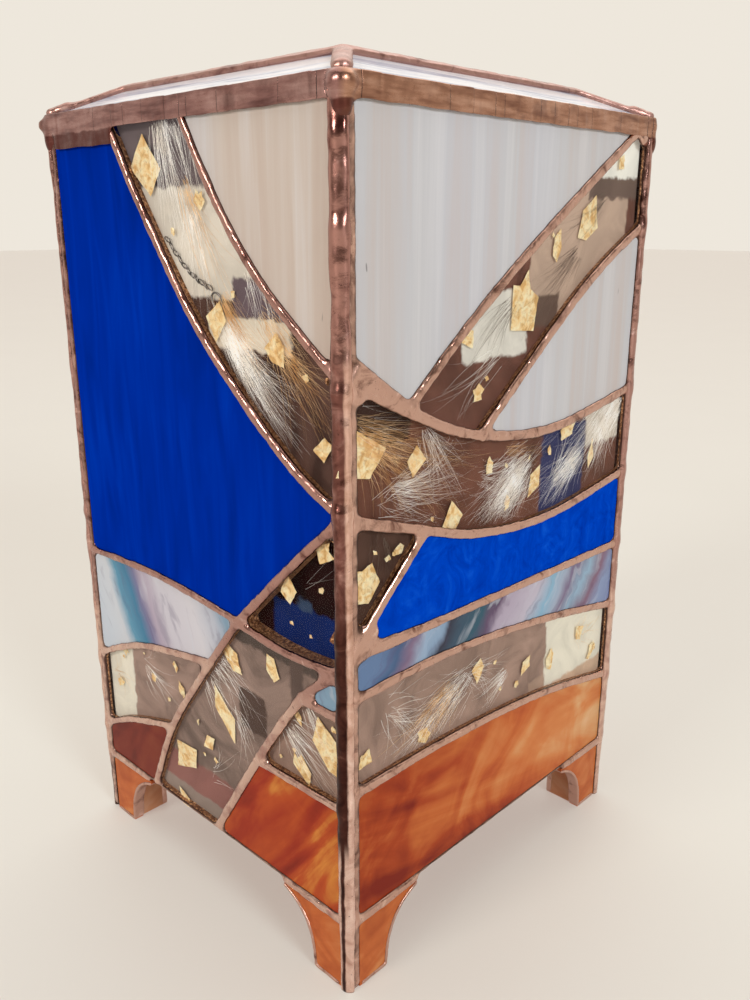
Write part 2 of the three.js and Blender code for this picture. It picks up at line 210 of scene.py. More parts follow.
def show(name, mesh, materials, replaced=()):
    """Puts a mesh in the scene as a piece of the lantern."""
    mesh.polygons.foreach_set("use_smooth", np.ones(len(mesh.polygons), bool))
    if mesh.materials:
        mesh.materials.clear()
    for material in materials:
        mesh.materials.append(material)
    piece = link(mesh, name)
    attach(piece, "root")
    if replaced:
        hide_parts(*replaced)
    return piece


def show_flat_faces(piece):
    """Lets the faces of a piece catch the light one by one."""
    piece.data.polygons.foreach_set("use_smooth", np.zeros(len(piece.data.polygons), bool))


# Shader building

def scaled(values, share):
    return tuple(share * v for v in values)


class Shader:
    """A material or a world, with short ways to add nodes to it."""

    def __init__(self, name, blocks=bpy.data.materials):
        self.owner = blocks.new(name)
        self.owner.use_nodes = True
        self.tree = self.owner.node_tree
        self.tree.nodes.clear()

    def node(self, kind, inputs=None, **settings):
        made = self.tree.nodes.new("ShaderNode" + kind)
        for key, value in settings.items():
            setattr(made, key, value)
        for key, value in (inputs or {}).items():
            if isinstance(value, bpy.types.NodeSocket):
                self.tree.links.new(value, made.inputs[key])
            else:
                made.inputs[key].default_value = value
        return made

    def math(self, operation, a, b=0.0):
        return self.node("Math", {0: a, 1: b}, operation=operation).outputs[0]

    def swing(self, value, reach):
        """Turns 0 to 1 into a swing of half the reach each way."""
        return self.math("MULTIPLY", self.math("SUBTRACT", value, 0.5), reach)

    def levels(self, value, low, high, out_low=0.0, out_high=1.0):
        """Maps low..high to out_low..out_high with soft ends."""
        inputs = {0: value, 1: low, 2: high, 3: out_low, 4: out_high}
        return self.node("MapRange", inputs, interpolation_type="SMOOTHSTEP").outputs[0]

    def within(self, value, low, high, soft):
        """1 from low to high and 0 outside, with soft edges."""
        above = self.levels(value, low - soft, low + soft)
        return self.math("MULTIPLY", above, self.levels(value, high + soft, high - soft))

    def creases(self, value, edge, core=0.0):
        """Thin lines where a noise passes its middle."""
        away = self.math("ABSOLUTE", self.math("SUBTRACT", value, 0.5))
        return self.levels(away, edge, core)

    def mix(self, share, a, b):
        colours = {6: a, 7: b}
        for index, value in colours.items():
            if not isinstance(value, bpy.types.NodeSocket):
                colours[index] = (*value, 1)
        return self.node("Mix", {0: share, **colours}, data_type="RGBA").outputs[2]

    def lay(self, colour, share, strength, tone):
        """Lays a tone over a colour, where the share is high."""
        return self.mix(self.math("MULTIPLY", share, strength), colour, tone)

    def ramp(self, value, stops):
        made = self.node("ValToRGB", {0: value})
        elements = made.color_ramp.elements
        while len(elements) < len(stops):
            elements.new(0.5)
        for element, (at, colour) in zip(elements, stops):
            element.position = at
            element.color = (*colour, 1)
        return made.outputs[0]

    def noise(self, vector, scale=1.0, detail=2.0, distortion=0.0, rough=0.5):
        inputs = {"Vector": vector, "Scale": scale, "Detail": detail, "Roughness": rough}
        return self.node("TexNoise", {**inputs, "Distortion": distortion}).outputs[0]

    def stretched(self, vector, scale):
        return self.node("Mapping", {"Vector": vector, "Scale": scale}).outputs[0]

    def place(self):
        """The place on the lantern, in millimetres of the frame."""
        return self.stretched(self.node("TexCoord").outputs["Object"], (1 / MM, 1 / MM, 1 / MM))

    def wall_place(self, side):
        """The place on a wall, in its own millimetres: along, inwards and up."""
        turn = -SIDES.index(side) * math.pi / 2
        corner = Matrix.Rotation(turn, 3, "Z") @ Vector((*CORNERS[side], 0))
        return self.node("Mapping", {
            "Vector": self.node("TexCoord").outputs["Object"], "Scale": (1 / MM, 1 / MM, 1 / MM),
            "Rotation": (0, 0, turn), "Location": -corner,
        }).outputs[0]

    def axes(self, vector):
        return self.node("SeparateXYZ", {0: vector}).outputs

    def bump(self, height, distance, strength=1.0):
        inputs = {"Height": height, "Distance": distance * MM, "Strength": strength}
        return self.node("Bump", inputs).outputs[0]

    def surface(self, colour, inputs, glow=0.0):
        """A plain surface. glow is a little light of its own colour."""
        light = {"Emission Color": colour, "Emission Strength": glow} if glow else {}
        return self.node("BsdfPrincipled", {"Base Color": colour, **inputs, **light}).outputs[0]

    def see_through(self, colour, through, inputs, glow=0.0):
        """Closes the material as a surface that is also lit from behind, by the share through."""
        front = self.surface(colour, inputs, glow)
        behind = self.node("BsdfTranslucent", {"Color": colour}).outputs[0]
        return self.finish(self.node("MixShader", {0: through, 1: front, 2: behind}).outputs[0])

    def finish(self, surface, output="OutputMaterial"):
        self.node(output, {"Surface": surface})
        return self.owner


# Materials: glass

def cobalt_glass(side, mottled):
    """Cobalt blue: dark and streaky, or paler and mottled."""
    s = Shader("cobalt_glass_" + side)
    at = s.wall_place(side)
    value = s.noise(s.stretched(at, (0.16, 0.16, 0.022)), detail=3.0, distortion=0.6)
    stops = [(0.3, (0.0, 0.024, 0.34)), (0.5, (0.0, 0.030, 0.43)), (0.72, (0.0, 0.042, 0.52))]
    if mottled:
        clouds = s.noise(at, 0.11, detail=5.0, distortion=2.2, rough=0.62)
        value = s.math("ADD", s.math("MULTIPLY", clouds, 0.6), s.math("MULTIPLY", value, 0.4))
        stops = [(0.34, (0.0, 0.042, 0.48)), (0.52, (0.0, 0.070, 0.66)), (0.70, (0.006, 0.12, 0.80))]
    wave = s.bump(s.noise(at, 0.12, detail=2.0), 0.25, 0.35)
    polish = {"Roughness": 0.16, "Specular IOR Level": 0.0, "Normal": wave}
    return s.see_through(s.ramp(value, stops), 0.3, polish)


def white_glass(name, side, streak_scale=(0.16, 0.16, 0.006)):
    """White opal with soft streaks of cream and grey that run up the sheet, warmer on the front."""
    s = Shader(name)
    at = s.wall_place(side)
    broad = s.noise(s.stretched(at, scaled(streak_scale, 0.3)), detail=2.0, distortion=0.5)
    fine = s.noise(s.stretched(at, streak_scale), detail=5.0, distortion=0.5, rough=0.6)
    cream = (0.70, 0.61, 0.57)
    plain = (0.70, 0.70, 0.72)
    if side in ("front", "left"):
        cream = (0.65, 0.52, 0.445)
        plain = (0.73, 0.65, 0.59)
    base = s.ramp(broad, [(0.34, cream), (0.5, plain), (0.66, (0.70, 0.71, 0.77))])
    streak = s.ramp(fine, [(0.32, cream), (0.5, plain), (0.68, (0.85, 0.84, 0.85))])
    specks = s.levels(s.noise(s.stretched(at, (0.35, 0.35, 0.12)), detail=1.0), 0.79, 0.81)
    colour = s.lay(s.mix(0.55, base, streak), specks, 0.6, (0.12, 0.10, 0.10))
    wave = s.bump(s.noise(s.stretched(at, (0.25, 0.25, 0.05)), detail=2.0), 0.2, 0.3)
    return s.see_through(colour, 0.35, {"Roughness": 0.16, "Specular IOR Level": 0.35, "Normal": wave})


def roof_glass(node):
    """Roof strips: white with blue-grey wisps that run along the strip, and a little glow: painted light."""
    s = Shader("white_" + node)
    at = s.wall_place(node.split("_")[1])
    fine = s.noise(s.stretched(at, (0.02, 0.35, 0.35)), detail=5.0, distortion=0.8, rough=0.62)
    colour = s.ramp(fine, [
        (0.34, (0.40, 0.44, 0.56)), (0.44, (0.78, 0.80, 0.86)), (0.56, (0.95, 0.94, 0.94)),
    ])
    wave = s.bump(s.noise(at, 0.15, detail=2.0), 0.2, 0.3)
    return s.see_through(colour, 0.3, {"Roughness": 0.12, "Normal": wave}, glow=0.17)


def wispy_glass(side, lean, warp, stops, length):
    """Iridescent glass: soft bands of colour across the wall, leaning by lean and pulled about by noise."""
    s = Shader("wispy_glass_" + side)
    at = s.wall_place(side)
    along, _, up = s.axes(at)
    above = s.math("SUBTRACT", up, WISPY_MIDDLE)
    value = s.math("ADD", along, s.math("MULTIPLY", above, lean))
    value = s.math("ADD", value, s.swing(s.noise(at, 0.05, detail=4.0, distortion=1.0, rough=0.55), warp))
    leaned = s.node("CombineXYZ", {0: value, 2: s.math("MULTIPLY", up, 0.35)}).outputs[0]
    streaks = s.noise(leaned, 0.16, detail=4.0, distortion=0.7, rough=0.55)
    colour = s.ramp(s.math("DIVIDE", value, length), stops)
    colour = s.lay(colour, s.levels(streaks, 0.54, 0.70), 0.5, (0.70, 0.72, 0.80))
    colour = s.lay(colour, s.levels(streaks, 0.46, 0.30), 0.35, (0.11, 0.075, 0.19))
    wave = s.bump(s.noise(at, 0.15, detail=3.0), 0.3, 0.35)
    return s.see_through(colour, 0.3, {"Roughness": 0.12, "Specular IOR Level": 0.5, "Normal": wave})


def amber_glass(name, side, lean, size, stops, glow=None, straight=0.6):
    """Streaky amber: long swirls of red, orange and yellow that lean across the sheet.

    glow is where the sheet is palest, as (along, up, reach), and such a sheet is darker along its foot.
    straight is the share of long streaks.
    """
    s = Shader(name)
    at = s.wall_place(side)
    turned = s.node("Mapping", {"Vector": at, "Rotation": (0, math.radians(lean), 0)}).outputs[0]
    long = s.noise(s.stretched(turned, (0.010 / size, 0.05, 0.05 / size)), detail=5.0, distortion=1.4)
    curl = s.noise(at, 0.035 / size, detail=4.0, distortion=2.4)
    value = s.math("ADD", s.math("MULTIPLY", long, straight), s.math("MULTIPLY", curl, 1 - straight))
    if glow:
        along, up, reach = glow
        away = s.node("VectorMath", {0: at, 1: (along, 0, up)}, operation="DISTANCE").outputs["Value"]
        value = s.math("ADD", value, s.levels(away, 0, reach, 0.10, -0.07))
        value = s.math("SUBTRACT", value, s.levels(s.axes(at)[2], WALL_LOW + 11, WALL_LOW, 0, 0.09))
    wave = s.bump(s.noise(at, 0.1, detail=3.0), 0.3, 0.35)
    polish = {"Roughness": 0.18, "Specular IOR Level": 0.15, "Normal": wave}
    return s.see_through(s.ramp(value, stops), 0.4, polish)


def clear_pane():
    """Polished clear glass: what is behind shows through, with a mirror that grows towards the edge."""
    s = Shader("clear_pane")
    at = s.place()
    wave = s.bump(s.noise(at, 0.08, detail=2.0), 0.15, 0.25)
    gloss = s.node("BsdfGlossy", {"Roughness": 0.05, "Normal": wave}).outputs[0]
    through = s.node("BsdfTransparent", {"Color": (0.97, 0.965, 0.955, 1)}).outputs[0]
    facing = s.node("LayerWeight", {"Blend": 0.5, "Normal": wave}).outputs["Facing"]
    mirror = s.math("ADD", s.math("MULTIPLY", s.math("POWER", facing, 5.0), 0.2), 0.002)
    return s.finish(s.node("MixShader", {0: mirror, 1: through, 2: gloss}).outputs[0])


def painted_interior_pane(side, name, tone, zones):
    """The inner pane of a clear piece: painted shade of the dim inside of the lantern as seen through the
    glass, with paler or darker zones painted where the bright room or darker parts of the other walls would
    show through.
    It glows a little, painted light.

    A zone is (low along, low up, high along, high up, colour), in the wall's millimetres.
    """
    s = Shader("smoky_" + name)
    at = s.wall_place(side)
    along, _, up = s.axes(at)
    cloud = s.noise(at, 0.05, detail=5.0, distortion=1.5, rough=0.6)
    # Painted shade: the tone is the dim inside of the lantern seen through the glass.
    light = scaled(tone, 1.35)
    colour = s.ramp(cloud, [(0.33, scaled(tone, 0.55)), (0.52, tone), (0.72, light)])
    grain = s.levels(s.noise(s.stretched(at, (0.9, 1, 0.25)), detail=4.0, rough=0.7), 0.55, 0.75)
    colour = s.lay(colour, grain, 0.25, light)
    wobble = s.swing(s.noise(at, 0.35, detail=4.0), 3.0)
    along = s.math("ADD", along, wobble)
    up = s.math("ADD", up, wobble)
    # Painted light and shade: each zone is where the bright room, or a darker part of another wall, would
    # show through.
    for low_along, low_up, high_along, high_up, zone in zones:
        inside = s.math("MULTIPLY", s.within(along, low_along, high_along, 0.6),
                        s.within(up, low_up, high_up, 0.6))
        shade = s.mix(s.levels(cloud, 0.35, 0.65), scaled(zone, 0.82), zone)
        colour = s.mix(inside, colour, shade)
    # glow: painted light, so the pane stays bright in the shade of the recess.
    return s.see_through(colour, 0.15, {"Roughness": 0.4, "Specular IOR Level": 0.04}, glow=0.22)


# Materials: metal

def solder_clouds(s, at):
    return s.noise(at, 0.16, detail=6.0, distortion=1.0, rough=0.62)


def stand_out(s, x, y):
    """How far a place stands out from the glass of the side walls, and of the front or back."""
    return [s.math("SUBTRACT", s.math("ABSOLUTE", v), half) for v, half in ((x, HALF_X), (y, HALF_Y))]


def speckle(s, colour, at, dark):
    specks = s.levels(s.noise(at, 1.5, detail=2.0), 0.71, 0.76)
    return s.lay(colour, specks, 0.8, dark)


def worn(s, at, matt, glossy):
    """A roughness that goes between matt and glossy from place to place."""
    return s.levels(s.noise(at, 0.13, detail=2.0), 0.38, 0.6, matt, glossy)


def copper(name, dark, mid, light, matt, ripple, lower=None, shaded_and_tarnished=True):
    """Copper-plated solder: brown to pink copper, and if shaded_and_tarnished darker where it meets the
    glass, painted shade in the crease there over some tarnish.

    lower is a paler tone for the lower half of the lantern.
    """
    s = Shader(name)
    at = s.place()
    x, y, z = s.axes(at)
    cloud = solder_clouds(s, at)
    colour = s.ramp(cloud, [(0.30, dark), (0.46, mid), (0.60, mid), (0.74, light)])
    if lower:
        colour = s.mix(s.levels(z, 84, 70), colour, s.mix(s.levels(cloud, 0.3, 0.6), mid, lower))
    if shaded_and_tarnished:
        # Painted shade: darker in the crease where the solder meets the glass, over some tarnish and dark
        # specks.
        ragged = s.math("ADD", s.math("MAXIMUM", *stand_out(s, x, y)), s.swing(cloud, 0.3))
        colour = s.lay(colour, s.levels(ragged, 0.50, 0.10), 0.9, scaled(dark, 0.25))
        colour = speckle(s, colour, at, scaled(dark, 0.2))
    return close_copper(s, colour, worn(s, at, matt + 0.16, matt), solder_height(s, at), ripple)


def solder_height(s, at):
    """The small unevenness of solder: broad ripples with finer ones on them."""
    fine = s.math("MULTIPLY", s.noise(at, 0.7, detail=3.0, distortion=0.5), 0.5)
    return s.math("ADD", fine, s.math("MULTIPLY", s.noise(at, 0.22, detail=1.0), 3.0))


def close_copper(s, colour, roughness, height, ripple):
    wave = s.bump(height, ripple, 0.7)
    return s.finish(s.surface(colour, {"Metallic": 1.0, "Roughness": roughness, "Normal": wave}))


def rim_copper():
    """Lapped foil on the rim: mauve on the front and back, orange-brown on the sides, with creases, and
    painted shade along its lower edge.
    """
    s = Shader("copper_rim")
    at = s.place()
    x, y, z = s.axes(at)
    cloud = s.noise(s.stretched(at, (0.07, 0.07, 0.45)), detail=5.0, rough=0.6)
    mauve = s.ramp(cloud, [
        (0.30, (0.15, 0.068, 0.062)), (0.5, (0.34, 0.175, 0.155)), (0.74, (0.50, 0.30, 0.27)),
    ])
    orange = s.ramp(cloud, [
        (0.30, (0.20, 0.085, 0.052)), (0.5, (0.42, 0.215, 0.140)), (0.70, (0.60, 0.35, 0.25)),
    ])
    out_x, out_y = stand_out(s, x, y)
    colour = s.mix(s.levels(s.math("SUBTRACT", out_x, out_y), -1.6, 1.6), mauve, orange)
    lines = s.creases(s.noise(s.stretched(at, (0.10, 0.10, 0.0)), detail=0.0), 0.006, 0.001)
    colour = s.lay(colour, lines, 0.75, (0.045, 0.018, 0.014))
    mottle = s.levels(s.noise(at, 0.12, detail=5.0, rough=0.6), 0.52, 0.68)
    colour = s.lay(colour, mottle, 0.45, (0.12, 0.055, 0.048))
    # Painted shade: the hem darkens the lower edge of the band, where it stands out over the wall.
    wander = s.math("MULTIPLY", s.noise(at, 0.25, detail=3.0), 1.4)
    hem = s.levels(s.math("SUBTRACT", z, wander), RIM_LOW - 0.2, RIM_LOW - 0.8)
    colour = s.lay(colour, hem, 0.85, (0.10, 0.026, 0.020))
    height = s.math("SUBTRACT", solder_height(s, at), lines)
    return close_copper(s, colour, s.levels(cloud, 0.4, 0.6, 0.34, 0.22), height, 0.16)


def post_copper(name):
    """The bead up a corner: glossy red-brown above, then dark on one side, a painted reflection of the dark
    room over some tarnish, and pale on the other.
    """
    s = Shader("copper_" + name + "_post")
    at = s.wall_place(POSTS[name])
    along, inwards, up = s.axes(at)
    cloud = solder_clouds(s, at)
    ragged = s.noise(s.stretched(at, (0.5, 0.5, 0.12)), detail=4.0, rough=0.6)
    across = s.math("ADD", s.math("SUBTRACT", along, inwards), s.swing(ragged, 1.6))
    red = (0.40, 0.20, 0.165)
    upper = s.ramp(cloud, [
        (0.30, (0.16, 0.060, 0.050)), (0.46, red), (0.60, red), (0.74, (0.62, 0.36, 0.31)),
    ])
    brown = s.ramp(cloud, [
        (0.30, (0.08, 0.026, 0.020)), (0.5, (0.21, 0.085, 0.068)), (0.74, (0.48, 0.26, 0.22)),
    ])
    black = s.ramp(cloud, [
        (0.34, (0.030, 0.009, 0.007)), (0.6, (0.085, 0.030, 0.022)), (0.8, (0.25, 0.12, 0.09)),
    ])
    pink = s.ramp(cloud, [(0.32, (0.56, 0.33, 0.26)), (0.5, (0.80, 0.54, 0.45)), (0.7, (0.92, 0.70, 0.61))])
    tan = s.ramp(cloud, [(0.32, (0.46, 0.25, 0.18)), (0.5, (0.66, 0.40, 0.31)), (0.7, (0.78, 0.52, 0.43))])
    # Painted reflection: the dark side stands in for the dark room that the bead mirrors, over some tarnish,
    # and is darker from 118 mm down to 96 mm.
    shaded_and_tarnished = s.mix(s.levels(up, 118, 96), brown, black)
    pale = s.mix(s.levels(up, 82, 62), tan, pink)
    lower = s.mix(s.levels(across, -0.6, 0.2), shaded_and_tarnished, pale)
    # Near the foot the pale side keeps a dark streak of the same painted reflection.
    streak = s.levels(s.math("ABSOLUTE", s.math("ADD", across, 2.3)), 0.9, 0.3)
    foot = s.mix(streak, pale, shaded_and_tarnished)
    colour = s.mix(s.levels(up, 168, 154), upper, lower)
    colour = s.mix(s.levels(up, 46, 38), colour, foot)
    colour = speckle(s, colour, at, (0.02, 0.007, 0.006))
    return close_copper(s, colour, worn(s, at, 0.30, 0.18), solder_height(s, at), 0.14)


def foil_edge():
    """Copper foil as it shows through clear glass: golden brown and crinkled, paler where the crinkles rise
    as a painted highlight, and with a little glow, painted light for foil in the shade inside the glass.
    """
    s = Shader("foil_through_glass")
    crinkle = s.noise(s.place(), 1.6, detail=4.0, distortion=0.6, rough=0.6)
    colour = s.ramp(crinkle, [
        (0.40, (0.06, 0.020, 0.010)), (0.52, (0.27, 0.110, 0.045)), (0.70, (0.80, 0.47, 0.24)),
    ])
    wave = s.bump(crinkle, 0.25, 0.9)
    return s.finish(s.surface(colour, {"Metallic": 0.6, "Roughness": 0.35, "Normal": wave}, glow=0.22))


def gold_leaf():
    """Crinkled gold leaf, paler where the crinkles rise, a painted highlight, and darker in the folds,
    painted shade.
    """
    s = Shader("gold_leaf")
    at = s.place()
    crinkle = s.noise(at, 0.42, detail=4.0, distortion=0.8)
    colour = s.ramp(crinkle, [
        (0.34, (0.74, 0.44, 0.16)), (0.46, (0.95, 0.70, 0.35)), (0.60, (1.0, 0.88, 0.58)),
    ])
    # Painted shade: the folds are darkened.
    folds = s.creases(s.noise(at, 0.6, detail=2.0), 0.016)
    colour = s.lay(colour, folds, 0.45, (0.50, 0.25, 0.07))
    wave = s.bump(s.math("SUBTRACT", crinkle, s.math("MULTIPLY", folds, 0.5)), 0.3, 0.8)
    return s.finish(s.surface(colour, {"Metallic": 0.3, "Roughness": 0.38, "Normal": wave}))


def steel():
    """The dull steel of the keepsake chain."""
    s = Shader("dull_steel")
    grain = s.noise(s.place(), 0.8, detail=3.0)
    colour = s.ramp(grain, [(0.35, (0.12, 0.11, 0.11)), (0.65, (0.34, 0.32, 0.31))])
    return s.finish(s.surface(colour, {"Metallic": 1.0, "Roughness": 0.35}))


# Materials: fur and floor

def hair(name, dark, light):
    """Fur that goes between two tones from place to place, with a little glow: painted light that keeps it
    bright in the shade inside the glass.
    """
    s = Shader(name)
    colour = s.mix(s.levels(s.noise(s.place(), 0.25, detail=2.0), 0.35, 0.65), dark, light)
    return s.see_through(colour, 0.3, {"Roughness": 0.5}, glow=0.32)


def pale_floor():
    """A plain, faintly clouded floor, with a little warm light of its own."""
    s = Shader("pale_floor")
    at = s.place()
    colour = s.mix(s.noise(at, 0.01, detail=4.0), (0.325, 0.365, 0.342), (0.345, 0.385, 0.362))
    wave = s.bump(s.noise(at, 0.4, detail=4.0), 0.1, 0.3)
    return s.finish(s.surface(colour, {
        "Roughness": 0.55, "Specular IOR Level": 0.3, "Normal": wave,
        "Emission Color": (1.0, 0.79, 0.69, 1), "Emission Strength": 0.37,
    }))


# Glass that the CAD model already shapes

WISPY_MIDDLE = 76.0     # the height that the bands of colour are placed at
WISPY_FRONT = [
    (0.0, (0.62, 0.70, 0.80)), (0.20, (0.70, 0.74, 0.80)), (0.27, (0.10, 0.34, 0.52)),
    (0.36, (0.03, 0.22, 0.40)), (0.42, (0.20, 0.20, 0.38)), (0.48, (0.50, 0.42, 0.54)),
    (0.58, (0.68, 0.66, 0.74)), (0.80, (0.74, 0.73, 0.79)), (0.92, (0.56, 0.60, 0.70)),
    (1.0, (0.26, 0.42, 0.58)),
]
WISPY_RIGHT = [
    (0.0, (0.14, 0.24, 0.44)), (0.06, (0.06, 0.13, 0.28)), (0.10, (0.26, 0.17, 0.28)),
    (0.15, (0.38, 0.52, 0.70)), (0.19, (0.28, 0.42, 0.60)), (0.21, (0.02, 0.02, 0.05)),
    (0.25, (0.03, 0.08, 0.14)), (0.32, (0.015, 0.10, 0.16)), (0.38, (0.13, 0.07, 0.15)),
    (0.43, (0.52, 0.44, 0.56)), (0.54, (0.62, 0.57, 0.67)), (0.61, (0.28, 0.52, 0.70)),
    (0.67, (0.42, 0.50, 0.64)), (0.71, (0.22, 0.16, 0.28)), (0.77, (0.34, 0.52, 0.68)),
    (0.84, (0.25, 0.12, 0.20)), (0.90, (0.28, 0.36, 0.58)), (1.0, (0.20, 0.26, 0.50)),
]
BRICK = [(0.3, (0.14, 0.016, 0.010)), (0.5, (0.26, 0.035, 0.018)), (0.7, (0.36, 0.075, 0.03))]
FLAME_FRONT = [
    (0.30, (0.24, 0.018, 0.008)), (0.44, (0.44, 0.045, 0.014)), (0.53, (0.60, 0.105, 0.022)),
    (0.60, (0.80, 0.32, 0.06)), (0.66, (0.60, 0.12, 0.02)), (0.74, (0.78, 0.28, 0.06)),
]
FLAME = [
    (0.28, (0.28, 0.025, 0.010)), (0.40, (0.52, 0.080, 0.018)), (0.50, (0.70, 0.19, 0.045)),
    (0.60, (0.80, 0.32, 0.10)), (0.70, (0.86, 0.52, 0.24)), (0.80, (0.92, 0.70, 0.42)),
]
HONEY = [(0.3, (0.46, 0.085, 0.022)), (0.5, (0.70, 0.19, 0.05)), (0.7, (0.88, 0.38, 0.13))]
PEACH = [(0.3, (0.62, 0.24, 0.11)), (0.5, (0.76, 0.42, 0.24)), (0.7, (0.86, 0.62, 0.44))]
AMBER_GLOW = {"right": (110, 46, 95), "back": (20, 36, 90)}


def glass_for(node, side, wispy):
    """The material of a glass node that stays, or None for the other nodes."""
    if "foot" in node:
        face = node.split("_")[3]
        side = face if face in SIDES else POSTS[node.split("_foot")[0]]
        return amber_glass("amber_" + node, side, 25, 0.6, PEACH if "inner" in node else HONEY)
    if node == "front_amber_corner":
        return amber_glass("amber_" + node, side, 60, 0.8, BRICK)
    if "amber" in node:
        lean = {"front": 48, "right": -14, "back": 20, "left": -30}[side]
        stops, straight = (FLAME_FRONT, 0.85) if side == "front" else (FLAME, 0.6)
        return amber_glass("amber_" + node, side, lean, 1.0, stops, AMBER_GLOW.get(side), straight)
    if "cobalt" in node:
        return cobalt_glass(side, node == "right_cobalt_strip" or side == "back")
    if "wispy" in node:
        return wispy[side]
    if "roof_top" in node:
        return white_glass("white_" + node, "right", (0.006, 0.25, 0.25))
    if node.startswith("roof") and "strip" in node:
        return roof_glass(node)
    if "white" in node:
        return white_glass("white_" + node, side)
    return None


def glaze_cad_glass():
    """Gives each glass node that stays its own sheet of glass."""
    wispy = {
        "front": wispy_glass("front", 0.45, 7, WISPY_FRONT, 74),
        "right": wispy_glass("right", -0.7, 17, WISPY_RIGHT, 120),
        "back": wispy_glass("back", 0.8, 14, WISPY_RIGHT, 120),
        "left": wispy_glass("left", -0.6, 12, WISPY_FRONT, 120),
    }
    for node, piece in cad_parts.items():
        material = glass_for(node, side_of(node), wispy)
        if material:
            piece.data.materials.clear()
            piece.data.materials.append(material)


# Solder

# The seams of each wall: width, extra width where the seam starts, whether it borders a clear piece and so
# reaches back to the inner pane, and the points that its smooth curve runs through. A seam that runs past a
# corner or the rim is cut off there.
SEAMS = {
    "front": [
        (2.8, 0.0, True, [(28, 216), (43, 192), (66, 162), (95, 137), (116, 126)]),
        (2.6, 0.0, True, [(59, 216), (74, 192), (90, 174), (116, 154)]),
        (2.7, 0.0, True, [(116, 130), (95, 111), (74, 90.5)]),
        (2.3, 0.0, False, [(-2, 92), (38, 93.5), (74, 91)]),
        (2.4, 0.0, True, [(74, 90.5), (94, 88.5), (116, 90)]),
        (2.6, 0.0, True, [(74, 90.5), (54.5, 66), (39.5, 45), (26.5, 17)]),
        (2.9, 0.0, True, [(113, 91), (98.5, 78.5), (82, 56), (57, 17)]),
        (2.3, 0.0, True, [(-2, 55), (14, 63), (31, 69), (61, 74.5)]),
        (2.2, 0.0, True, [(-2, 29.5), (15.5, 38.5), (40.5, 46.5)]),
        (2.5, 0.0, True, [(98, 78), (116, 78)]),
        (2.4, 0.0, True, [(80, 53), (116, 53.5)]),
    ],
    "right": [
        (2.9, 3.6, True, [(-2, 161), (24, 146), (47, 138), (79, 135), (122, 141.5)]),
        (2.7, 0.6, True, [(-2, 127.5), (23, 119.5), (47, 112.5), (79, 110), (122, 115.5)]),
        (2.9, 0.0, True, [(116, 214), (69, 185), (40, 165), (19, 148)]),
        (2.8, 0.0, True, [(122, 189), (89, 171), (46, 138)]),
        (2.8, 0.0, True, [(26, 118), (14, 107), (-2, 91)]),
        (2.7, 1.4, False, [(3, 95), (22, 93.5), (122, 91.5)]),
        (2.6, 0.4, True, [(-2, 83), (36, 83), (80, 78), (122, 70)]),
        (2.6, 0.4, True, [(-2, 58), (36, 57.5), (80, 53.5), (122, 45)]),
    ],
    "back": [
        (2.8, 0.0, True, [(-2, 141), (34, 151), (66, 175), (86, 216)]),
        (2.8, 0.0, True, [(-2, 115), (44, 125), (84, 153), (116, 196)]),
        (2.6, 0.0, False, [(-2, 91.5), (116, 92)]),
        (2.6, 0.0, False, [(22, 119), (48, 108), (80, 91.5)]),
        (2.6, 0.0, True, [(-2, 70), (56, 66), (116, 52)]),
        (2.6, 0.0, True, [(-2, 45.5), (56, 43), (116, 31)]),
    ],
    "left": [
        (2.8, 0.0, True, [(-2, 193), (36, 168), (76, 158), (100, 174), (112, 216)]),
        (2.8, 0.0, True, [(-2, 160), (36, 138), (80, 126), (122, 120)]),
        (2.6, 0.0, False, [(-2, 92), (122, 92)]),
        (2.6, 0.0, True, [(-2, 52), (60, 62), (122, 55)]),
        (2.6, 0.0, True, [(-2, 31), (60, 38), (122, 29.5)]),
    ],
}

# Extra solder where seams meet, as (along, up, radius) on a wall.
PUDDLES = {
    "front": [(75, 91, 1.9), (98.5, 78.5, 1.9), (81, 54, 1.9), (60, 74, 1.5), (40, 46.3, 1.6)],
    "right": [(25, 118, 1.7), (47, 138, 1.8), (4.5, 95, 3.4), (8, 98, 2.2), (21, 148.5, 2.4), (4, 154, 2.8),
              (115, 210, 2.2)],
    "back": [(110, 190, 1.8), (48, 108, 1.6), (22, 119, 1.6), (80, 91.5, 1.6)],
    "left": [(100, 174, 1.6)],
}


def curve_through(points, gap=0.9):
    """Evenly stepped places on the smooth curve through the points, as the CAD model draws it."""
    points = [Vector(p) for p in points]
    if len(points) == 2:
        points.insert(1, (points[0] + points[1]) / 2)
    line = []
    for i in range(len(points) - 1):
        p0, p1, p2 = points[max(i - 1, 0)], points[i], points[i + 1]
        p3 = points[min(i + 2, len(points) - 1)]
        steps = max(2, round((p2 - p1).length / gap))
        v0, v1 = (p2 - p0) / 2, (p3 - p1) / 2
        cubic = 2 * p1 - 2 * p2 + v0 + v1
        square = 3 * p2 - 3 * p1 - 2 * v0 - v1
        for k in range(steps):
            t = k / steps
            line.append(cubic * t ** 3 + square * t ** 2 + v0 * t + p1)
    return [*line, points[-1]]


def sweep(bm, matrix, line, section):
    """Sweeps a closed section along a line on a wall.

    section(i) gives the points of the section at step i as (across, depth).
    """
    rings = []
    for i, at in enumerate(line):
        ahead = line[min(i + 1, len(line) - 1)] - line[max(i - 1, 0)]
        side = Vector((-ahead.y, ahead.x)).normalized()
        ring = []
        for across, depth in section(i):
            p = at + side * across
            ring.append(bm.verts.new(matrix @ Vector((p.x, depth, p.y))))
        rings.append(ring)
    join_rings(bm, rings)
    bm.faces.new(rings[0])
    bm.faces.new(rings[-1][::-1])


def oblong(left, right, front, back):
    """A section with four corners, the same all along a line."""
    corners = [(left, front), (left, back), (right, back), (right, front)]
    return lambda i: corners


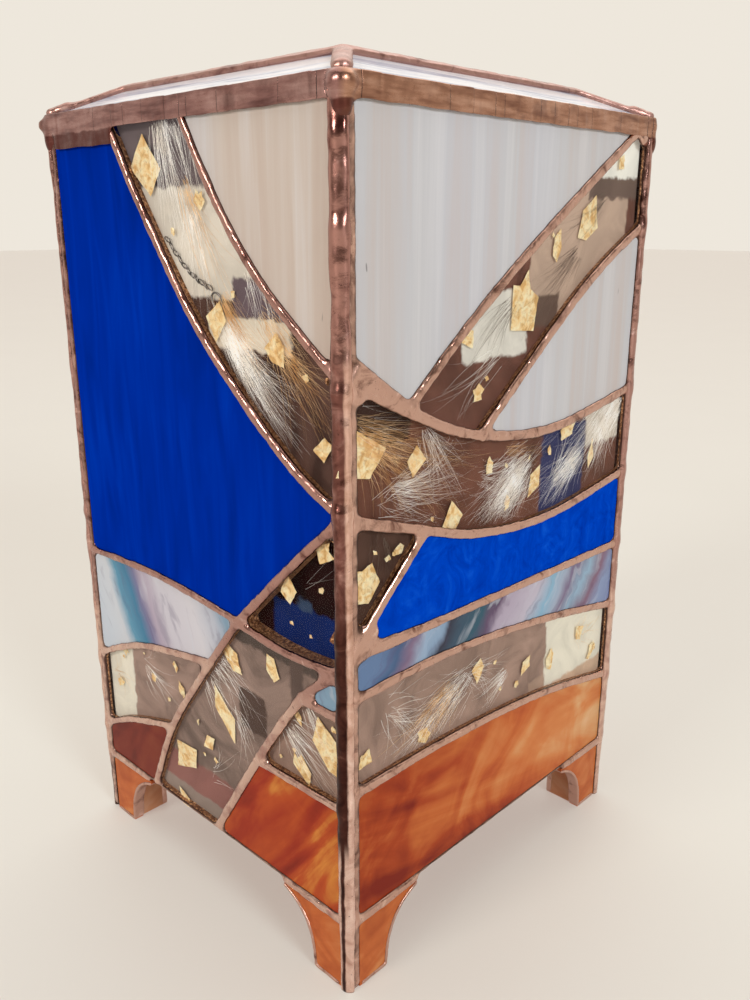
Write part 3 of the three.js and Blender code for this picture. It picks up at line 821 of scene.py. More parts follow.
def folded_foil(half):
    """Foil folded round the edge of a coloured pane, from half outside the edge to half inside it."""
    return oblong(-half, 0.45, -FOIL_LAP, GLASS + FOIL_LAP)


def bead_section(half, height, depth, flatness):
    """A rounded bead, half sunk in the glass at the given depth. A low flatness makes a flat ribbon."""
    points = []
    for k in range(14):
        a = 2 * math.pi * k / 14
        rise = math.copysign(abs(math.sin(a)) ** flatness, math.sin(a))
        points.append((half * math.cos(a), depth + height * rise))
    return points


def bead(widths, height, depth, flatness):
    """The section of a bead with a width for each step of its line."""
    return lambda i: bead_section(widths[i] / 2, height, depth, flatness)


def add_seam(bm, matrix, line, widths, height, flatness, deep):
    """A soldered seam: a bead on each face and the foil between the glass edges.

    Behind clear glass the inner bead and the foil stop short of the foot and the rim.
    """
    inner = CLEAR_GLASS if deep else GLASS
    sweep(bm, matrix, line, bead(widths, height, 0, flatness))
    clear = [i for i, p in enumerate(line) if not deep or 25 < p.y < 208]
    back = [line[i] for i in clear]
    sweep(bm, matrix, back, bead([widths[i] for i in clear], 0.8, inner, flatness))
    sweep(bm, matrix, back, oblong(-0.7, 0.7, -0.3, inner))


def cast(bm, fillet, swell, rounds, grain=VOXEL):
    """A solder casting: corners filled by fillet, the whole grown by swell and rounded off."""
    bmesh.ops.recalc_face_normals(bm, faces=bm.faces)
    mesh = remesh(mesh_from(bm), grain)
    if fillet:
        grow(mesh, fillet)
        mesh = remesh(mesh, grain)
        grow(mesh, swell - fillet)
    smooth(mesh, rounds)
    return mesh


def add_wall_seams(bm, side, height, flatness):
    """The seams between the pieces of a wall, with extra solder where they meet."""
    matrix = wall_matrix(side)
    ends = (SEAM_END, LENGTHS[side] - SEAM_END)
    for index, (width, extra, deep, points) in enumerate(SEAMS[side]):
        line = [p for p in curve_through(points) if ends[0] < p.x < ends[1] and WALL_LOW < p.y < RIM_LOW + 2]
        seed = 7 * index + 50 * SIDES.index(side)
        widths = []
        for p in line:
            flare = extra * math.exp(-((p - line[0]).length / 17) ** 2)
            slow = 0.35 * noise.noise((p.x * 0.16, p.y * 0.16, seed))
            quick = 0.2 * noise.noise((p.x * 0.5, p.y * 0.5, seed))
            widths.append(width + flare + slow + quick)
        add_seam(bm, matrix, line, widths, height, flatness, deep)
    for along, up, radius in PUDDLES[side]:
        add_ball(bm, matrix, (along, 0, up), (radius, 1.0, radius))


def add_edge_foil(bm, side):
    """Foil up both ends of a wall, beside the posts and on the ends of the glass, and along its foot."""
    matrix = wall_matrix(side)
    length = LENGTHS[side]
    for along in (2.15, length - 2.15):
        line = curve_through([(along, 1), (along, 210)], 2)
        sweep(bm, matrix, line, lambda i: bead_section(1.2, 0.42, 0, 0.5))
    for along in (JAMB, length - JAMB):
        line = curve_through([(along, 26), (along, 208)], 2)
        sweep(bm, matrix, line, oblong(-0.35, 0.35, 0.2, 1.1))
    line = curve_through([(SEAM_END, WALL_LOW), (length - SEAM_END, WALL_LOW)], 2)
    sweep(bm, matrix, line, folded_foil(0.35))


def add_foot_seams(bm, side, flatness):
    """The seams between a wall and its two feet, thinner away from the corners."""
    matrix = wall_matrix(side)
    length = LENGTHS[side]
    for start, end in ((SEAM_END, FOOT_SPREAD), (length - SEAM_END, length - FOOT_SPREAD)):
        line = curve_through([(start, SEAM_OVER_FOOT), (end, SEAM_OVER_FOOT)], 1)
        reach = abs(end - start)
        widths = [2.9 * (1 - 0.45 * (abs(p.x - start) / reach) ** 4) for p in line]
        sweep(bm, matrix, line, bead(widths, 0.8, 0, flatness))
        sweep(bm, matrix, line, bead(widths, 0.7, GLASS, flatness))
        sweep(bm, matrix, line, oblong(-0.7, 0.7, 0, GLASS))


def cast_wall_seams(side, finishes):
    """The lattice of a wall in one casting: the second finish is for the solder seen through clear glass."""
    matrix = wall_matrix(side)
    flatness, height = (0.62, 0.8) if side in ("right", "left") else (0.85, 0.95)
    bm = bmesh.new()
    add_wall_seams(bm, side, height, flatness)
    add_edge_foil(bm, side)
    add_foot_seams(bm, side, flatness)
    mesh = cast(bm, 0.9, 0.0, 2, 0.45)
    co = positions(mesh)
    local = np.array([matrix.inverted() @ Vector(p) for p in co])
    outside = np.clip(0.6 - local[:, 1], 0, 1)
    grow(mesh, 0.10 * outside * (noise_at(co, 4.0, SIDES.index(side)) + noise_at(co, 1.8, 9)))
    piece = show(side + "_soldered_seams", mesh, finishes, [side + "_seams"])
    inwards = matrix.to_3x3() @ Vector((0, 1 / MM, 0))
    start = matrix.translation
    inside = [(p.center - start).dot(inwards) > 0.25 * MM for p in piece.data.polygons]
    piece.data.polygons.foreach_set("material_index", np.array(inside, np.int32))


# Heights where the seams of the two walls run into each corner, and the size of the lump there.
LUMPS = {
    "front_right": [(160, 0.4), (154, 0.75), (147, 0.3), (141, 0.35), (134, 0.3), (128, 0.7), (123, 0.3),
                    (97, 0.3), (89, 0.4), (78, 0.3), (54, 0.3), (24, 0.2), (204, 0.35), (187, 0.3)],
    "front_left": [(92, 0.4), (55, 0.4), (31, 0.3), (204, 0.2), (112, 0.35), (104, 0.5), (96, 0.3)],
    "back_right": [(141, 0.3), (115, 0.3), (92, 0.25), (70, 0.35), (46, 0.35), (187, 0.3)],
    "back_left": [(190, 0.4), (158, 0.4), (92, 0.3), (52, 0.3)],
}


def add_post_bead(bm, name, seed, top):
    """The lumpy bead up the outside of a corner. It leans over the wall before the corner."""
    matrix = wall_matrix(POSTS[name])
    long = Vector((-0.38, 0.925))
    short = Vector((0.925, 0.38))
    around = 36
    steps = 420
    rings = []
    for i in range(steps + 1):
        up = top * i / steps
        lump = sum(size * math.exp(-((up - at) / 2.4) ** 2) for at, size in LUMPS[name])
        slow = noise.noise((up * 0.09, seed, 0))
        quick = noise.noise((up * 0.33, seed, 4))
        in_foot = 1 - min(max((up - 16) / 6, 0), 1)
        half = 2.15 + 0.25 * slow + 0.08 * quick + 0.55 * lump - 0.3 * in_foot
        thick = 1.5 + 0.2 * slow + 0.08 * quick + lump - 0.4 * in_foot
        middle = Vector((0.5, 1.5)) + 0.12 * noise.noise((up * 0.12, seed, 9)) * long
        ring = []
        for k in range(around):
            a = 2 * math.pi * k / around
            ripple = 1 + 0.07 * noise.noise((math.cos(a) * 1.3, math.sin(a) * 1.3, up * 0.3 + seed))
            p = middle + ripple * (half * math.cos(a) * long + thick * math.sin(a) * short)
            ring.append(bm.verts.new(matrix @ Vector((p.x, p.y, up))))
        rings.append(ring)
    join_rings(bm, rings)
    bm.faces.new(rings[0])
    bm.faces.new(rings[-1][::-1])


def add_inner_corner(bm, name, top):
    """The solder in the angle between two walls, from their edges to the inside of the corner."""
    matrix = wall_matrix(POSTS[name])
    plan = [(0.4, 0.4), (3.2, 0.4), (3.2, 3.1), (4.3, 3.1), (4.3, 4.3), (3.1, 4.3), (3.1, 3.2), (0.4, 3.2)]
    low, high = [[bm.verts.new(matrix @ Vector((x, y, up))) for x, y in plan] for up in (0, top)]
    join_rings(bm, [low, high])
    bm.faces.new(low[::-1])
    bm.faces.new(high)


def cast_post(name, finish):
    """A corner: its outer bead and the solder inside the corner."""
    bm = bmesh.new()
    top = RIM_LOW + 2
    add_post_bead(bm, name, 20 + list(POSTS).index(name), top)
    add_inner_corner(bm, name, top)
    bmesh.ops.recalc_face_normals(bm, faces=bm.faces)
    show(name + "_solder_bead", mesh_from(bm), [finish], [name + "_corner_seam"])


def cast_rim(finish):
    """The rim: flat foil with lapped joints and a ragged lower edge, and balls of solder on the corners."""
    bm = cad_mesh("rim_band")
    frame_mm = Matrix.Scale(MM, 4)
    add_ball(bm, frame_mm, (HALF_X - 0.7, -HALF_Y + 0.7, RIM_HIGH - 2.5), (3.3, 3.3, 3.0))
    add_ball(bm, frame_mm, (HALF_X - 0.7, -HALF_Y + 0.7, RIM_LOW - 0.5), (2.2, 2.2, 3.0))
    add_ball(bm, frame_mm, (-HALF_X - 1.2, -HALF_Y - 0.2, RIM_HIGH - 2.6), (1.7, 1.7, 1.8))
    for x, y in ((HALF_X, HALF_Y), (-HALF_X, HALF_Y), (-HALF_X, -HALF_Y)):
        corner = Vector((x - math.copysign(1.0, x), y - math.copysign(1.0, y), 0))
        add_ball(bm, frame_mm, corner + Vector((0, 0, RIM_HIGH - 2.6)), (2.5, 2.5, 2.8))
        add_ball(bm, frame_mm, corner + Vector((0, 0, RIM_LOW - 0.5)), (2.5, 2.5, 4.5))
    mesh = cast(bm, 0.6, -0.1, 3)
    co = positions(mesh) / MM
    on_side = np.abs(co[:, 0]) - HALF_X > np.abs(co[:, 1]) - HALF_Y
    along = np.where(on_side, co[:, 1], co[:, 0])
    wander = np.array([noise.noise((s * 0.05, 0, 5)) for s in along])
    lap = ((along + 9 * wander) / 23) % 1.0
    ragged = np.array([noise.noise((s * 0.16, s * 0.02, 3)) for s in along])
    hem = np.clip((RIM_LOW + 2.2 - co[:, 2]) / 1.5, 0, 1)
    grow(mesh, 0.10 * lap + 0.10 * noise_at(co * MM, 4.0, 31))
    co = positions(mesh)
    co[:, 2] -= MM * hem * (0.1 + 0.3 * ragged)
    place(mesh, co)
    show("soldered_rim", mesh, [finish], ["rim_band"])


def cast_roof_seams(finish):
    """The seams of the roof, with the hips run out to the corners of the rim."""
    bm = cad_mesh("roof_seams")
    frame_mm = Matrix.Scale(MM, 4)
    slope = (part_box("roof_seams")[1].z / MM - RIM_HIGH) / ROOF_RUN
    for x in (-1, 1):
        for y in (-1, 1):
            for inset in (1.5, 3.0, 4.5):
                at = (x * (HALF_X - inset), y * (HALF_Y - inset), RIM_HIGH - 0.4 + slope * inset)
                add_ball(bm, frame_mm, at, (1.9, 1.9, 1.2))
    mesh = cast(bm, 0.8, 0.3, 4)
    roughen(mesh, 0.16, 6.0, 41)
    show("soldered_roof_seams", mesh, [finish], ["roof_seams"])


def foot_edge(steps=16):
    """The inner edge of a foot, from the floor up, as places from the corner."""
    points = [Vector((FOOT_WIDTH, 0.4)), Vector((FOOT_WIDTH, FOOT_TOP * 0.6)),
              Vector((FOOT_WIDTH + 5, FOOT_TOP * 0.85)), Vector((FOOT_SPREAD, FOOT_TOP - 1))]
    line = []
    for i in range(steps + 1):
        t = i / steps
        weights = ((1 - t) ** 3, 3 * t * (1 - t) ** 2, 3 * t * t * (1 - t), t ** 3)
        line.append(sum((w * p for w, p in zip(weights, points)), Vector((0, 0))))
    return line


def cast_foot_edging(name, finish):
    """Foil along the free edges of a foot's panes, and a seam up the corner of its inner panes."""
    bm = bmesh.new()
    here = POSTS[name]
    before = SIDES[SIDES.index(here) - 1]
    edge = foot_edge()
    sole = [Vector((4, 0.55)), Vector((FOOT_WIDTH - 0.2, 0.55))]
    length = LENGTHS[before]
    for line in (edge, sole):
        sweep(bm, wall_matrix(here), line, folded_foil(0.45))
        sweep(bm, wall_matrix(before), [Vector((length - p.x, p.y)) for p in line], folded_foil(0.45))
    inner = FOOT_WIDTH - 0.5
    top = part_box(name + "_foot_inner_panes")[1].z / MM
    bmesh.ops.create_cone(
        bm, cap_ends=True, segments=12, radius1=1.2, radius2=1.0, depth=top - 0.6,
        matrix=wall_matrix(here) @ Matrix.Translation((inner - 0.7, inner - 0.7, top / 2)),
    )
    mesh = cast(bm, 0, 0, 2, 0.3)
    roughen(mesh, 0.07, 3.0, 50 + list(POSTS).index(name))
    co = positions(mesh)
    co[:, 2] = np.maximum(co[:, 2], 0)
    place(mesh, co)
    show(name + "_foot_foil", mesh, [finish])


# Clear pieces

def slice_between(node, outer, inner):
    """The slice of a clear CAD node between two depths, as a bmesh in the wall's millimetres."""
    bm = cad_mesh(node)
    bm.transform(wall_matrix(side_of(node)).inverted())
    for depth, normal in ((outer, -1), (inner, 1)):
        geometry = bm.verts[:] + bm.edges[:] + bm.faces[:]
        bmesh.ops.bisect_plane(bm, geom=geometry, plane_co=(0, depth, 0), plane_no=(0, normal, 0),
                               clear_outer=True, dist=1e-4)
        rims = [e for e in bm.edges if e.is_boundary]
        if rims:
            bmesh.ops.holes_fill(bm, edges=rims)
    return bm


def outer_pane(node):
    """The outer pane: the outer slice of the CAD node."""
    bm = slice_between(node, 0, OUTER_PANE)
    bmesh.ops.recalc_face_normals(bm, faces=bm.faces)
    bm.transform(wall_matrix(side_of(node)))
    return mesh_from(bm)


def inner_pane(node, depth):
    """The pane behind the fur: the full outline in front, and the CAD node's own back half behind it."""
    middle = GLASS + 1.3
    far_corner = LENGTHS[side_of(node)] - INNER_CORNER
    bm = slice_between(node, 0.2, 1.2)
    for v in bm.verts:
        v.co.y = depth if v.co.y < 0.7 else middle
        v.co.x = min(max(v.co.x, INNER_CORNER), far_corner)
    mesh = mesh_from(slice_between(node, middle, CLEAR_GLASS))
    bm.from_mesh(mesh)
    bpy.data.meshes.remove(mesh)
    bmesh.ops.recalc_face_normals(bm, faces=bm.faces)
    bm.transform(wall_matrix(side_of(node)))
    return mesh_from(bm)


class Outline:
    """The outline of a clear piece on its wall."""

    def __init__(self, node):
        bm = cad_mesh(node)
        bm.transform(wall_matrix(side_of(node)).inverted())
        self.tree = BVHTree.FromBMesh(bm)
        co = np.array([v.co for v in bm.verts])
        self.low, self.high = co.min(0), co.max(0)
        bm.free()

    def holds(self, along, up, margin):
        """Whether a place lies inside the outline, clear of its edge by the margin."""
        return all(
            self.tree.ray_cast(Vector((along + dx, -5, up + dz)), Vector((0, 1, 0)))[0] is not None
            for dx, dz in ((margin, 0), (-margin, 0), (0, margin), (0, -margin))
        )

    def pick(self, rng, margin):
        """A random place inside the outline, or None if none is found."""
        for _ in range(400):
            along = rng.uniform(self.low[0], self.high[0])
            up = rng.uniform(self.low[2], self.high[2])
            if self.holds(along, up, margin):
                return along, up
        return None


HAIR_POINTS = 9                     # the most points that a hair runs through
HAIR_ANGLES = (0, 2.094, 4.189)     # the three edges of a hair, going round it


def add_strand(bm, points, radius, material):
    """A tapering three-sided hair through the points."""
    rings = []
    for i, p in enumerate(points):
        thick = radius * (1 - 0.8 * i / (len(points) - 1))
        edges = [Vector((math.cos(a), math.sin(a), 0.5 * math.sin(a))) for a in HAIR_ANGLES]
        rings.append([bm.verts.new(p + thick * edge) for edge in edges])
    ends = [bm.faces.new(rings[0][::-1]), bm.faces.new(rings[-1])]
    for face in ends + join_rings(bm, rings):
        face.material_index = material


def add_tuft(bm, outline, rng, tuft):
    """A tuft is (along, up, heading, fan, length, hairs, root width, material).

    The hairs of a tuft flow together: they share a bend, and stray more towards its outside.
    """
    along, up, heading, fan, length, hairs, root, material = tuft
    common = rng.gauss(0, 0.035)
    for _ in range(hairs):
        stray = rng.gauss(0, 1)
        angle = math.radians(heading + fan * stray * 0.8)
        across = root * (0.22 * stray + rng.gauss(0, 0.22))
        back = rng.uniform(-0.5, 0.5) * root
        at = Vector((
            along - across * math.sin(angle) + back * math.cos(angle),
            rng.uniform(OUTER_PANE + 0.2, INNER_PANE - 0.2),
            up + across * math.cos(angle) + back * math.sin(angle),
        ))
        reach = length * rng.uniform(0.3, 1.15) * max(0.45, 1 - 0.18 * abs(stray))
        bend = common + rng.gauss(0, 0.035 + 0.0012 * fan)
        sink = rng.uniform(-0.05, 0.05)
        points = []
        for _ in range(HAIR_POINTS):
            if outline.holds(at.x, at.z, 0.4):
                points.append(at.copy())
            elif points:
                break
            at += Vector((math.cos(angle), sink, math.sin(angle))) * reach / 7
            at.y = min(max(at.y, OUTER_PANE + 0.15), INNER_PANE - 0.12)
            angle += bend
        if len(points) > 2:
            add_strand(bm, points, rng.uniform(0.024, 0.055), material)


def add_flake(bm, rng, along, up, size, turn, slim):
    """A torn piece of gold leaf: an angular outline with a notch here and there, crumpled."""
    corners = rng.randint(4, 5)
    depth = rng.uniform(OUTER_PANE + 0.4, OUTER_PANE + 0.6)
    spin = Matrix.Rotation(math.radians(turn), 2)
    wide = min(1.0, slim * 1.5)
    ring = []
    for i in range(corners):
        angle = 2 * math.pi * (i + rng.uniform(-0.22, 0.22)) / corners
        reach = size / 2 * rng.uniform(0.75, 1.25)
        ring.append(spin @ Vector((reach * math.cos(angle), reach * wide * math.sin(angle))))
        if rng.random() < 0.2:
            angle += math.pi / corners
            reach *= rng.uniform(0.5, 0.7)
            ring.append(spin @ Vector((reach * math.cos(angle), reach * wide * math.sin(angle))))
    sheet = bmesh.new()
    middle = sheet.verts.new((along, depth, up))
    rim = [sheet.verts.new((along + p.x, depth, up + p.y)) for p in ring]
    for a, b in zip(rim, rim[1:] + rim[:1]):
        sheet.faces.new((middle, a, b))
    bmesh.ops.subdivide_edges(sheet, edges=sheet.edges[:], cuts=4, use_grid_fill=True)
    bmesh.ops.triangulate(sheet, faces=sheet.faces[:])
    for v in sheet.verts:
        crumple = noise.noise(v.co * 0.8) + 0.5 * noise.noise(v.co * 2.3)
        v.co += Vector((0.16 * noise.noise(v.co * 2.1), 0.18 * crumple, 0.16 * noise.noise(v.co * 2.7)))
    bmesh.ops.solidify(sheet, geom=sheet.faces[:], thickness=0.05)
    flake = mesh_from(sheet)
    bm.from_mesh(flake)
    bpy.data.meshes.remove(flake)


WHITE, GOLDEN, DARK = 0, 1, 2
# Tones painted on the inner panes: CREAM and PALE are painted light where the bright room shows through,
# TAUPE and UMBER painted shade of the dim inside.
CREAM = (0.70, 0.655, 0.585)
PALE = (0.78, 0.71, 0.60)
TAUPE = (0.28, 0.195, 0.158)
UMBER = (0.09, 0.045, 0.034)

# What each clear piece of the front and right walls holds. The tone and zones are those of
# painted_interior_pane, the painted shade and light of the inside seen through the piece, gold leaf is
# (along, up, size, turn, slimness), and tufts are those of add_tuft. depth is how deep the inner pane lies
# where it isn't INNER_PANE.
CLEAR_PIECES = {
    "front_clear_ribbon": {
        "tone": (0.088, 0.046, 0.037),
        "zones": [(30, 196, 80, 216, (0.15, 0.12, 0.13)), (40, 171, 84, 196, CREAM),
                  (66, 160, 96, 167.5, PALE), (76, 167.5, 96, 176, (0.15, 0.11, 0.13))],
        "gold": [(44.5, 201, 17, 100, 0.42), (66, 193, 5.5, 60, 0.6), (70, 166, 9, 75, 0.5),
                 (91, 161, 7.5, 20, 0.7), (106, 141, 8, 15, 0.45)],
        "tufts": [(51, 218, -84, 9, 34, 110, 5.5, WHITE), (60, 218, -72, 14, 34, 44, 6, WHITE),
                  (60, 196, -66, 10, 38, 26, 4, GOLDEN), (62, 190, -75, 16, 24, 40, 5, WHITE),
                  (73, 171, -52, 8, 24, 60, 3, GOLDEN), (75, 163, -50, 10, 27, 230, 6, WHITE),
                  (88, 168, -42, 14, 30, 40, 6, GOLDEN), (84, 177, -58, 24, 13, 46, 8, WHITE),
                  (94, 160, -38, 22, 22, 50, 5, GOLDEN)],
    },
    "front_clear_wedge": {
        "tone": (0.013, 0.0015, 0.0015),
        "depth": 3.9,
        "zones": [(84, 86, 114, 100, (0.004, 0.018, 0.12)), (93, 99, 98, 102, (0.04, 0.07, 0.14))],
        "gold": [(106, 117, 6.5, 70, 0.7), (93, 105, 6.5, 100, 0.6)],
        "tufts": [(100, 108, 40, 10, 22, 3, 3, WHITE)],
    },
    "front_clear_strip": {
        "tone": (0.31, 0.215, 0.182),
        "zones": [(-2, 28, 17.5, 72, (0.74, 0.71, 0.62))],
        "gold": [(14, 62, 5, 140, 0.5), (30, 58, 3, 80, 0.6), (42, 66, 3.5, 100, 0.5), (44, 59, 6, 120, 0.35),
                 (10, 49, 4, 30, 0.5)],
        "tufts": [(28, 60, -30, 26, 14, 24, 6, WHITE), (8, 52, 20, 40, 10, 16, 4, GOLDEN)],
    },
    "front_clear_band": {
        "tone": (0.265, 0.188, 0.160),
        "zones": [(30, 14, 66, 37, (0.28, 0.125, 0.11)), (30, 14, 60, 27, (0.30, 0.235, 0.205)),
                  (71, 59, 82, 71, (0.095, 0.06, 0.05)), (62, 84, 118, 94, (0.10, 0.075, 0.065)),
                  (92, 72, 97, 86, (0.13, 0.09, 0.078))],
        "gold": [(70, 78, 9, 115, 0.45), (86, 81, 8, 125, 0.4), (65, 60, 15, 118, 0.34), (56, 47, 7, 30, 0.5),
                 (44, 37, 13, 60, 0.85), (42, 22, 7, 130, 0.4)],
        "tufts": [(58, 72, -40, 26, 20, 30, 8, WHITE), (70, 62, -60, 26, 16, 14, 6, WHITE),
                  (58, 38, 30, 34, 14, 8, 6, WHITE), (62, 76, -20, 16, 20, 16, 5, WHITE)],
    },
    "front_clear_triangle": {
        "tone": (0.25, 0.165, 0.132),
        "zones": [],
        "gold": [(95, 72, 6, 115, 0.35), (105.5, 67, 18, 118, 0.3), (96, 58, 9, 140, 0.5)],
        "tufts": [(88, 70, -34, 13, 30, 44, 4, WHITE), (99, 76, -58, 16, 20, 18, 4, WHITE)],
    },
    "right_clear_ribbon": {
        "tone": (0.148, 0.062, 0.042),
        "zones": [(98, 126, 124, 150, (0.60, 0.54, 0.46)), (76, 108, 98, 134, (0.036, 0.040, 0.115)),
                  (2, 141, 22, 160, (0.05, 0.026, 0.020))],
        "gold": [(5.5, 141, 14, 100, 0.65), (24, 135, 7, 80, 0.55), (38, 119, 9, 95, 0.8),
                 (52, 129, 5, 90, 0.5), (73, 121, 9, 55, 0.5), (101, 123, 8, 85, 0.25),
                 (60, 117, 4.5, 95, 0.4), (88, 133, 9, 20, 0.4), (79, 128, 3, 90, 0.4)],
        "tufts": [(-1, 148, -27, 7, 48, 170, 5, GOLDEN), (6, 146, -24, 14, 38, 16, 9, WHITE),
                  (10, 142, -36, 22, 36, 40, 8, GOLDEN), (28, 141, -52, 18, 22, 50, 5, WHITE),
                  (18, 130, -14, 15, 22, 90, 5, WHITE), (14, 124, -38, 38, 26, 40, 9, WHITE),
                  (66, 125, -148, 15, 26, 190, 9, WHITE), (58, 118, 28, 26, 22, 60, 8, WHITE),
                  (50, 127, -8, 18, 20, 40, 5, WHITE), (60, 132, -14, 7, 18, 30, 3, GOLDEN),
                  (93, 124, -158, 14, 20, 90, 6, WHITE), (84, 120, 34, 24, 22, 50, 6, WHITE),
                  (117, 141, -150, 20, 26, 260, 13, WHITE), (108, 131, -110, 26, 14, 60, 8, WHITE)],
    },
    "right_clear_diagonal": {
        "tone": (0.150, 0.066, 0.048),
        "zones": [(66, 164, 112, 200, (0.50, 0.37, 0.29)), (40, 156, 66, 172, (0.72, 0.70, 0.64)),
                  (66, 162, 80, 170, (0.14, 0.09, 0.07)), (98, 199, 124, 218, (0.84, 0.84, 0.78)),
                  (92, 194, 120, 199.5, (0.16, 0.11, 0.09))],
        "gold": [(63, 169, 16, 80, 0.6), (77, 182, 8, 70, 0.4), (92, 188, 12, 60, 0.5),
                 (42, 162, 6, 120, 0.6), (46, 148, 5, 90, 0.9), (106, 203, 5, 60, 0.5)],
        "tufts": [(98, 193, -152, 13, 24, 26, 4, DARK), (86, 180, -142, 11, 24, 38, 4, DARK),
                  (58, 168, -150, 12, 22, 22, 4, DARK), (53, 157, -150, 18, 24, 14, 6, WHITE)],
    },
    "right_clear_wedge": {
        "tone": (0.080, 0.042, 0.031),
        "zones": [],
        "gold": [(6.5, 110, 12, 75, 0.75), (18, 115.5, 5, 20, 0.35)],
        "tufts": [(12, 119, -85, 18, 18, 12, 4, DARK)],
    },
    "right_clear_strip": {
        "tone": (0.315, 0.212, 0.170),
        "zones": [(84, 44, 124, 76, (0.74, 0.71, 0.61)), (84, 44, 124, 53, (0.60, 0.43, 0.31)),
                  (76, 44, 84, 58, (0.42, 0.29, 0.22))],
        "gold": [(7, 65, 7, 50, 0.6), (28, 62, 5, 70, 0.7), (50, 72, 8, 85, 0.55), (73, 65, 7, 60, 0.4),
                 (86, 62, 8, 85, 0.4), (102, 66, 6, 30, 0.6), (110, 57, 7, 60, 0.4)],
        "tufts": [(42, 71, -158, 16, 30, 64, 9, WHITE), (38, 70, -146, 16, 28, 60, 7, GOLDEN),
                  (18, 72, -34, 30, 18, 40, 8, WHITE), (62, 66, -152, 15, 12, 40, 4, WHITE),
                  (48, 72, -24, 26, 14, 40, 6, WHITE), (30, 62, -120, 30, 14, 40, 8, WHITE),
                  (104, 64, 0, 60, 9, 16, 6, GOLDEN)],
    },
}


def hidden_fill(node, outline, seed):
    """What a clear piece of the back or left wall holds: fur and gold leaf, scattered in the same way."""
    rng = random.Random(seed)
    gold = []
    tufts = []
    for _ in range(7):
        spot = outline.pick(rng, 3.0)
        if spot:
            gold.append((*spot, rng.uniform(4, 10), rng.uniform(0, 180), rng.uniform(0.35, 0.8)))
    for _ in range(6):
        spot = outline.pick(rng, 2.5)
        if spot:
            kind = rng.choice((WHITE, WHITE, GOLDEN))
            tufts.append((*spot, rng.uniform(0, 360), 25, rng.uniform(14, 26), 90, 5, kind))
    # Painted shade of the dim inside: TAUPE behind a strip, UMBER behind the rest.
    tone = TAUPE if "strip" in node else UMBER
    return {"tone": tone, "zones": [], "gold": gold, "tufts": tufts}


def build_clear_piece(node, pane, leaf, hairs, seed):
    """Two panes in the place of a clear CAD node, with fur and gold leaf between them."""
    side = side_of(node)
    matrix = wall_matrix(side)
    outline = Outline(node)
    fill = CLEAR_PIECES.get(node) or hidden_fill(node, outline, seed)
    rng = random.Random(seed)
    painted_interior_view = painted_interior_pane(side, node, fill["tone"], fill["zones"])
    inner = inner_pane(node, fill.get("depth", INNER_PANE))
    show_flat_faces(show(node + "_outer_pane", outer_pane(node), [pane], [node]))
    show_flat_faces(show(node + "_inner_pane", inner, [painted_interior_view], [node]))
    bm = bmesh.new()
    for tuft in fill["tufts"]:
        add_tuft(bm, outline, rng, tuft)
    bm.transform(matrix)
    show(node + "_fur", mesh_from(bm), hairs)
    bm = bmesh.new()
    for flake in fill["gold"]:
        add_flake(bm, rng, *flake)
    crumbs = 3 if node in CLEAR_PIECES else 5
    for _ in range(crumbs):
        spot = outline.pick(rng, 2.0)
        if spot:
            add_flake(bm, rng, *spot, rng.uniform(1.2, 2.4), rng.uniform(0, 180), rng.uniform(0.4, 0.9))
    bm.transform(matrix)
    show_flat_faces(show(node + "_gold_leaf", mesh_from(bm), [leaf]))


def add_link(bm, matrix, centre, turn, long, wide, wire, tilt):
    """An oval wire link."""
    around, section = 20, 8
    spin = Matrix.Rotation(math.radians(turn), 4, "Y") @ Matrix.Rotation(math.radians(tilt), 4, "X")
    rings = []
    for i in range(around):
        a = 2 * math.pi * i / around
        middle = Vector((long * math.cos(a), 0, wide * math.sin(a)))
        out = Vector((math.cos(a), 0, math.sin(a)))
        ring = []
        for j in range(section):
            b = 2 * math.pi * j / section
            p = middle + out * wire * math.cos(b) + Vector((0, wire * math.sin(b), 0))
            ring.append(bm.verts.new(matrix @ (Vector(centre) + spin @ p)))
        rings.append(ring)
    join_rings(bm, rings + rings[:1])


def build_keepsake_chain(metal):
    """A short length of fine chain with a ring, caught in the upper front ribbon."""
    bm = bmesh.new()
    matrix = wall_matrix("front")
    depth = (OUTER_PANE + INNER_PANE) / 2
    start, end = Vector((52, 184)), Vector((68, 173.5))
    links = 11
    for i in range(links):
        t = i / (links - 1)
        at = start.lerp(end, t)
        turn, tilt = (54, 62) if i % 2 else (18, 18)
        centre = (at.x, depth, at.y - 1.8 * math.sin(math.pi * t))
        add_link(bm, matrix, centre, turn, 1.15, 0.62, 0.17, tilt)
    add_link(bm, matrix, (70.6, depth, 170.6), 0, 1.9, 1.9, 0.26, 12)
    bmesh.ops.recalc_face_normals(bm, faces=bm.faces)
    show("keepsake_chain", mesh_from(bm), [metal])


# Stage

def build_stage():
    """A floor 12 m across."""
    bm = bmesh.new()
    bmesh.ops.create_grid(bm, x_segments=8, y_segments=8, size=6.0)
    floor = link(mesh_from(bm), "floor")
    floor.data.materials.append(pale_floor())


def add_area(name, at, towards, size, power, colour):
    """A round soft lamp. Lengths are in metres."""
    light = bpy.data.lights.new(name, "AREA")
    light.shape = "DISK"
    light.size = size
    light.energy = power
    light.color = colour
    lamp = link(light, name)
    lamp.location = at
    lamp.rotation_euler = (Vector(towards) - Vector(at)).to_track_quat("-Z", "Y").to_euler()


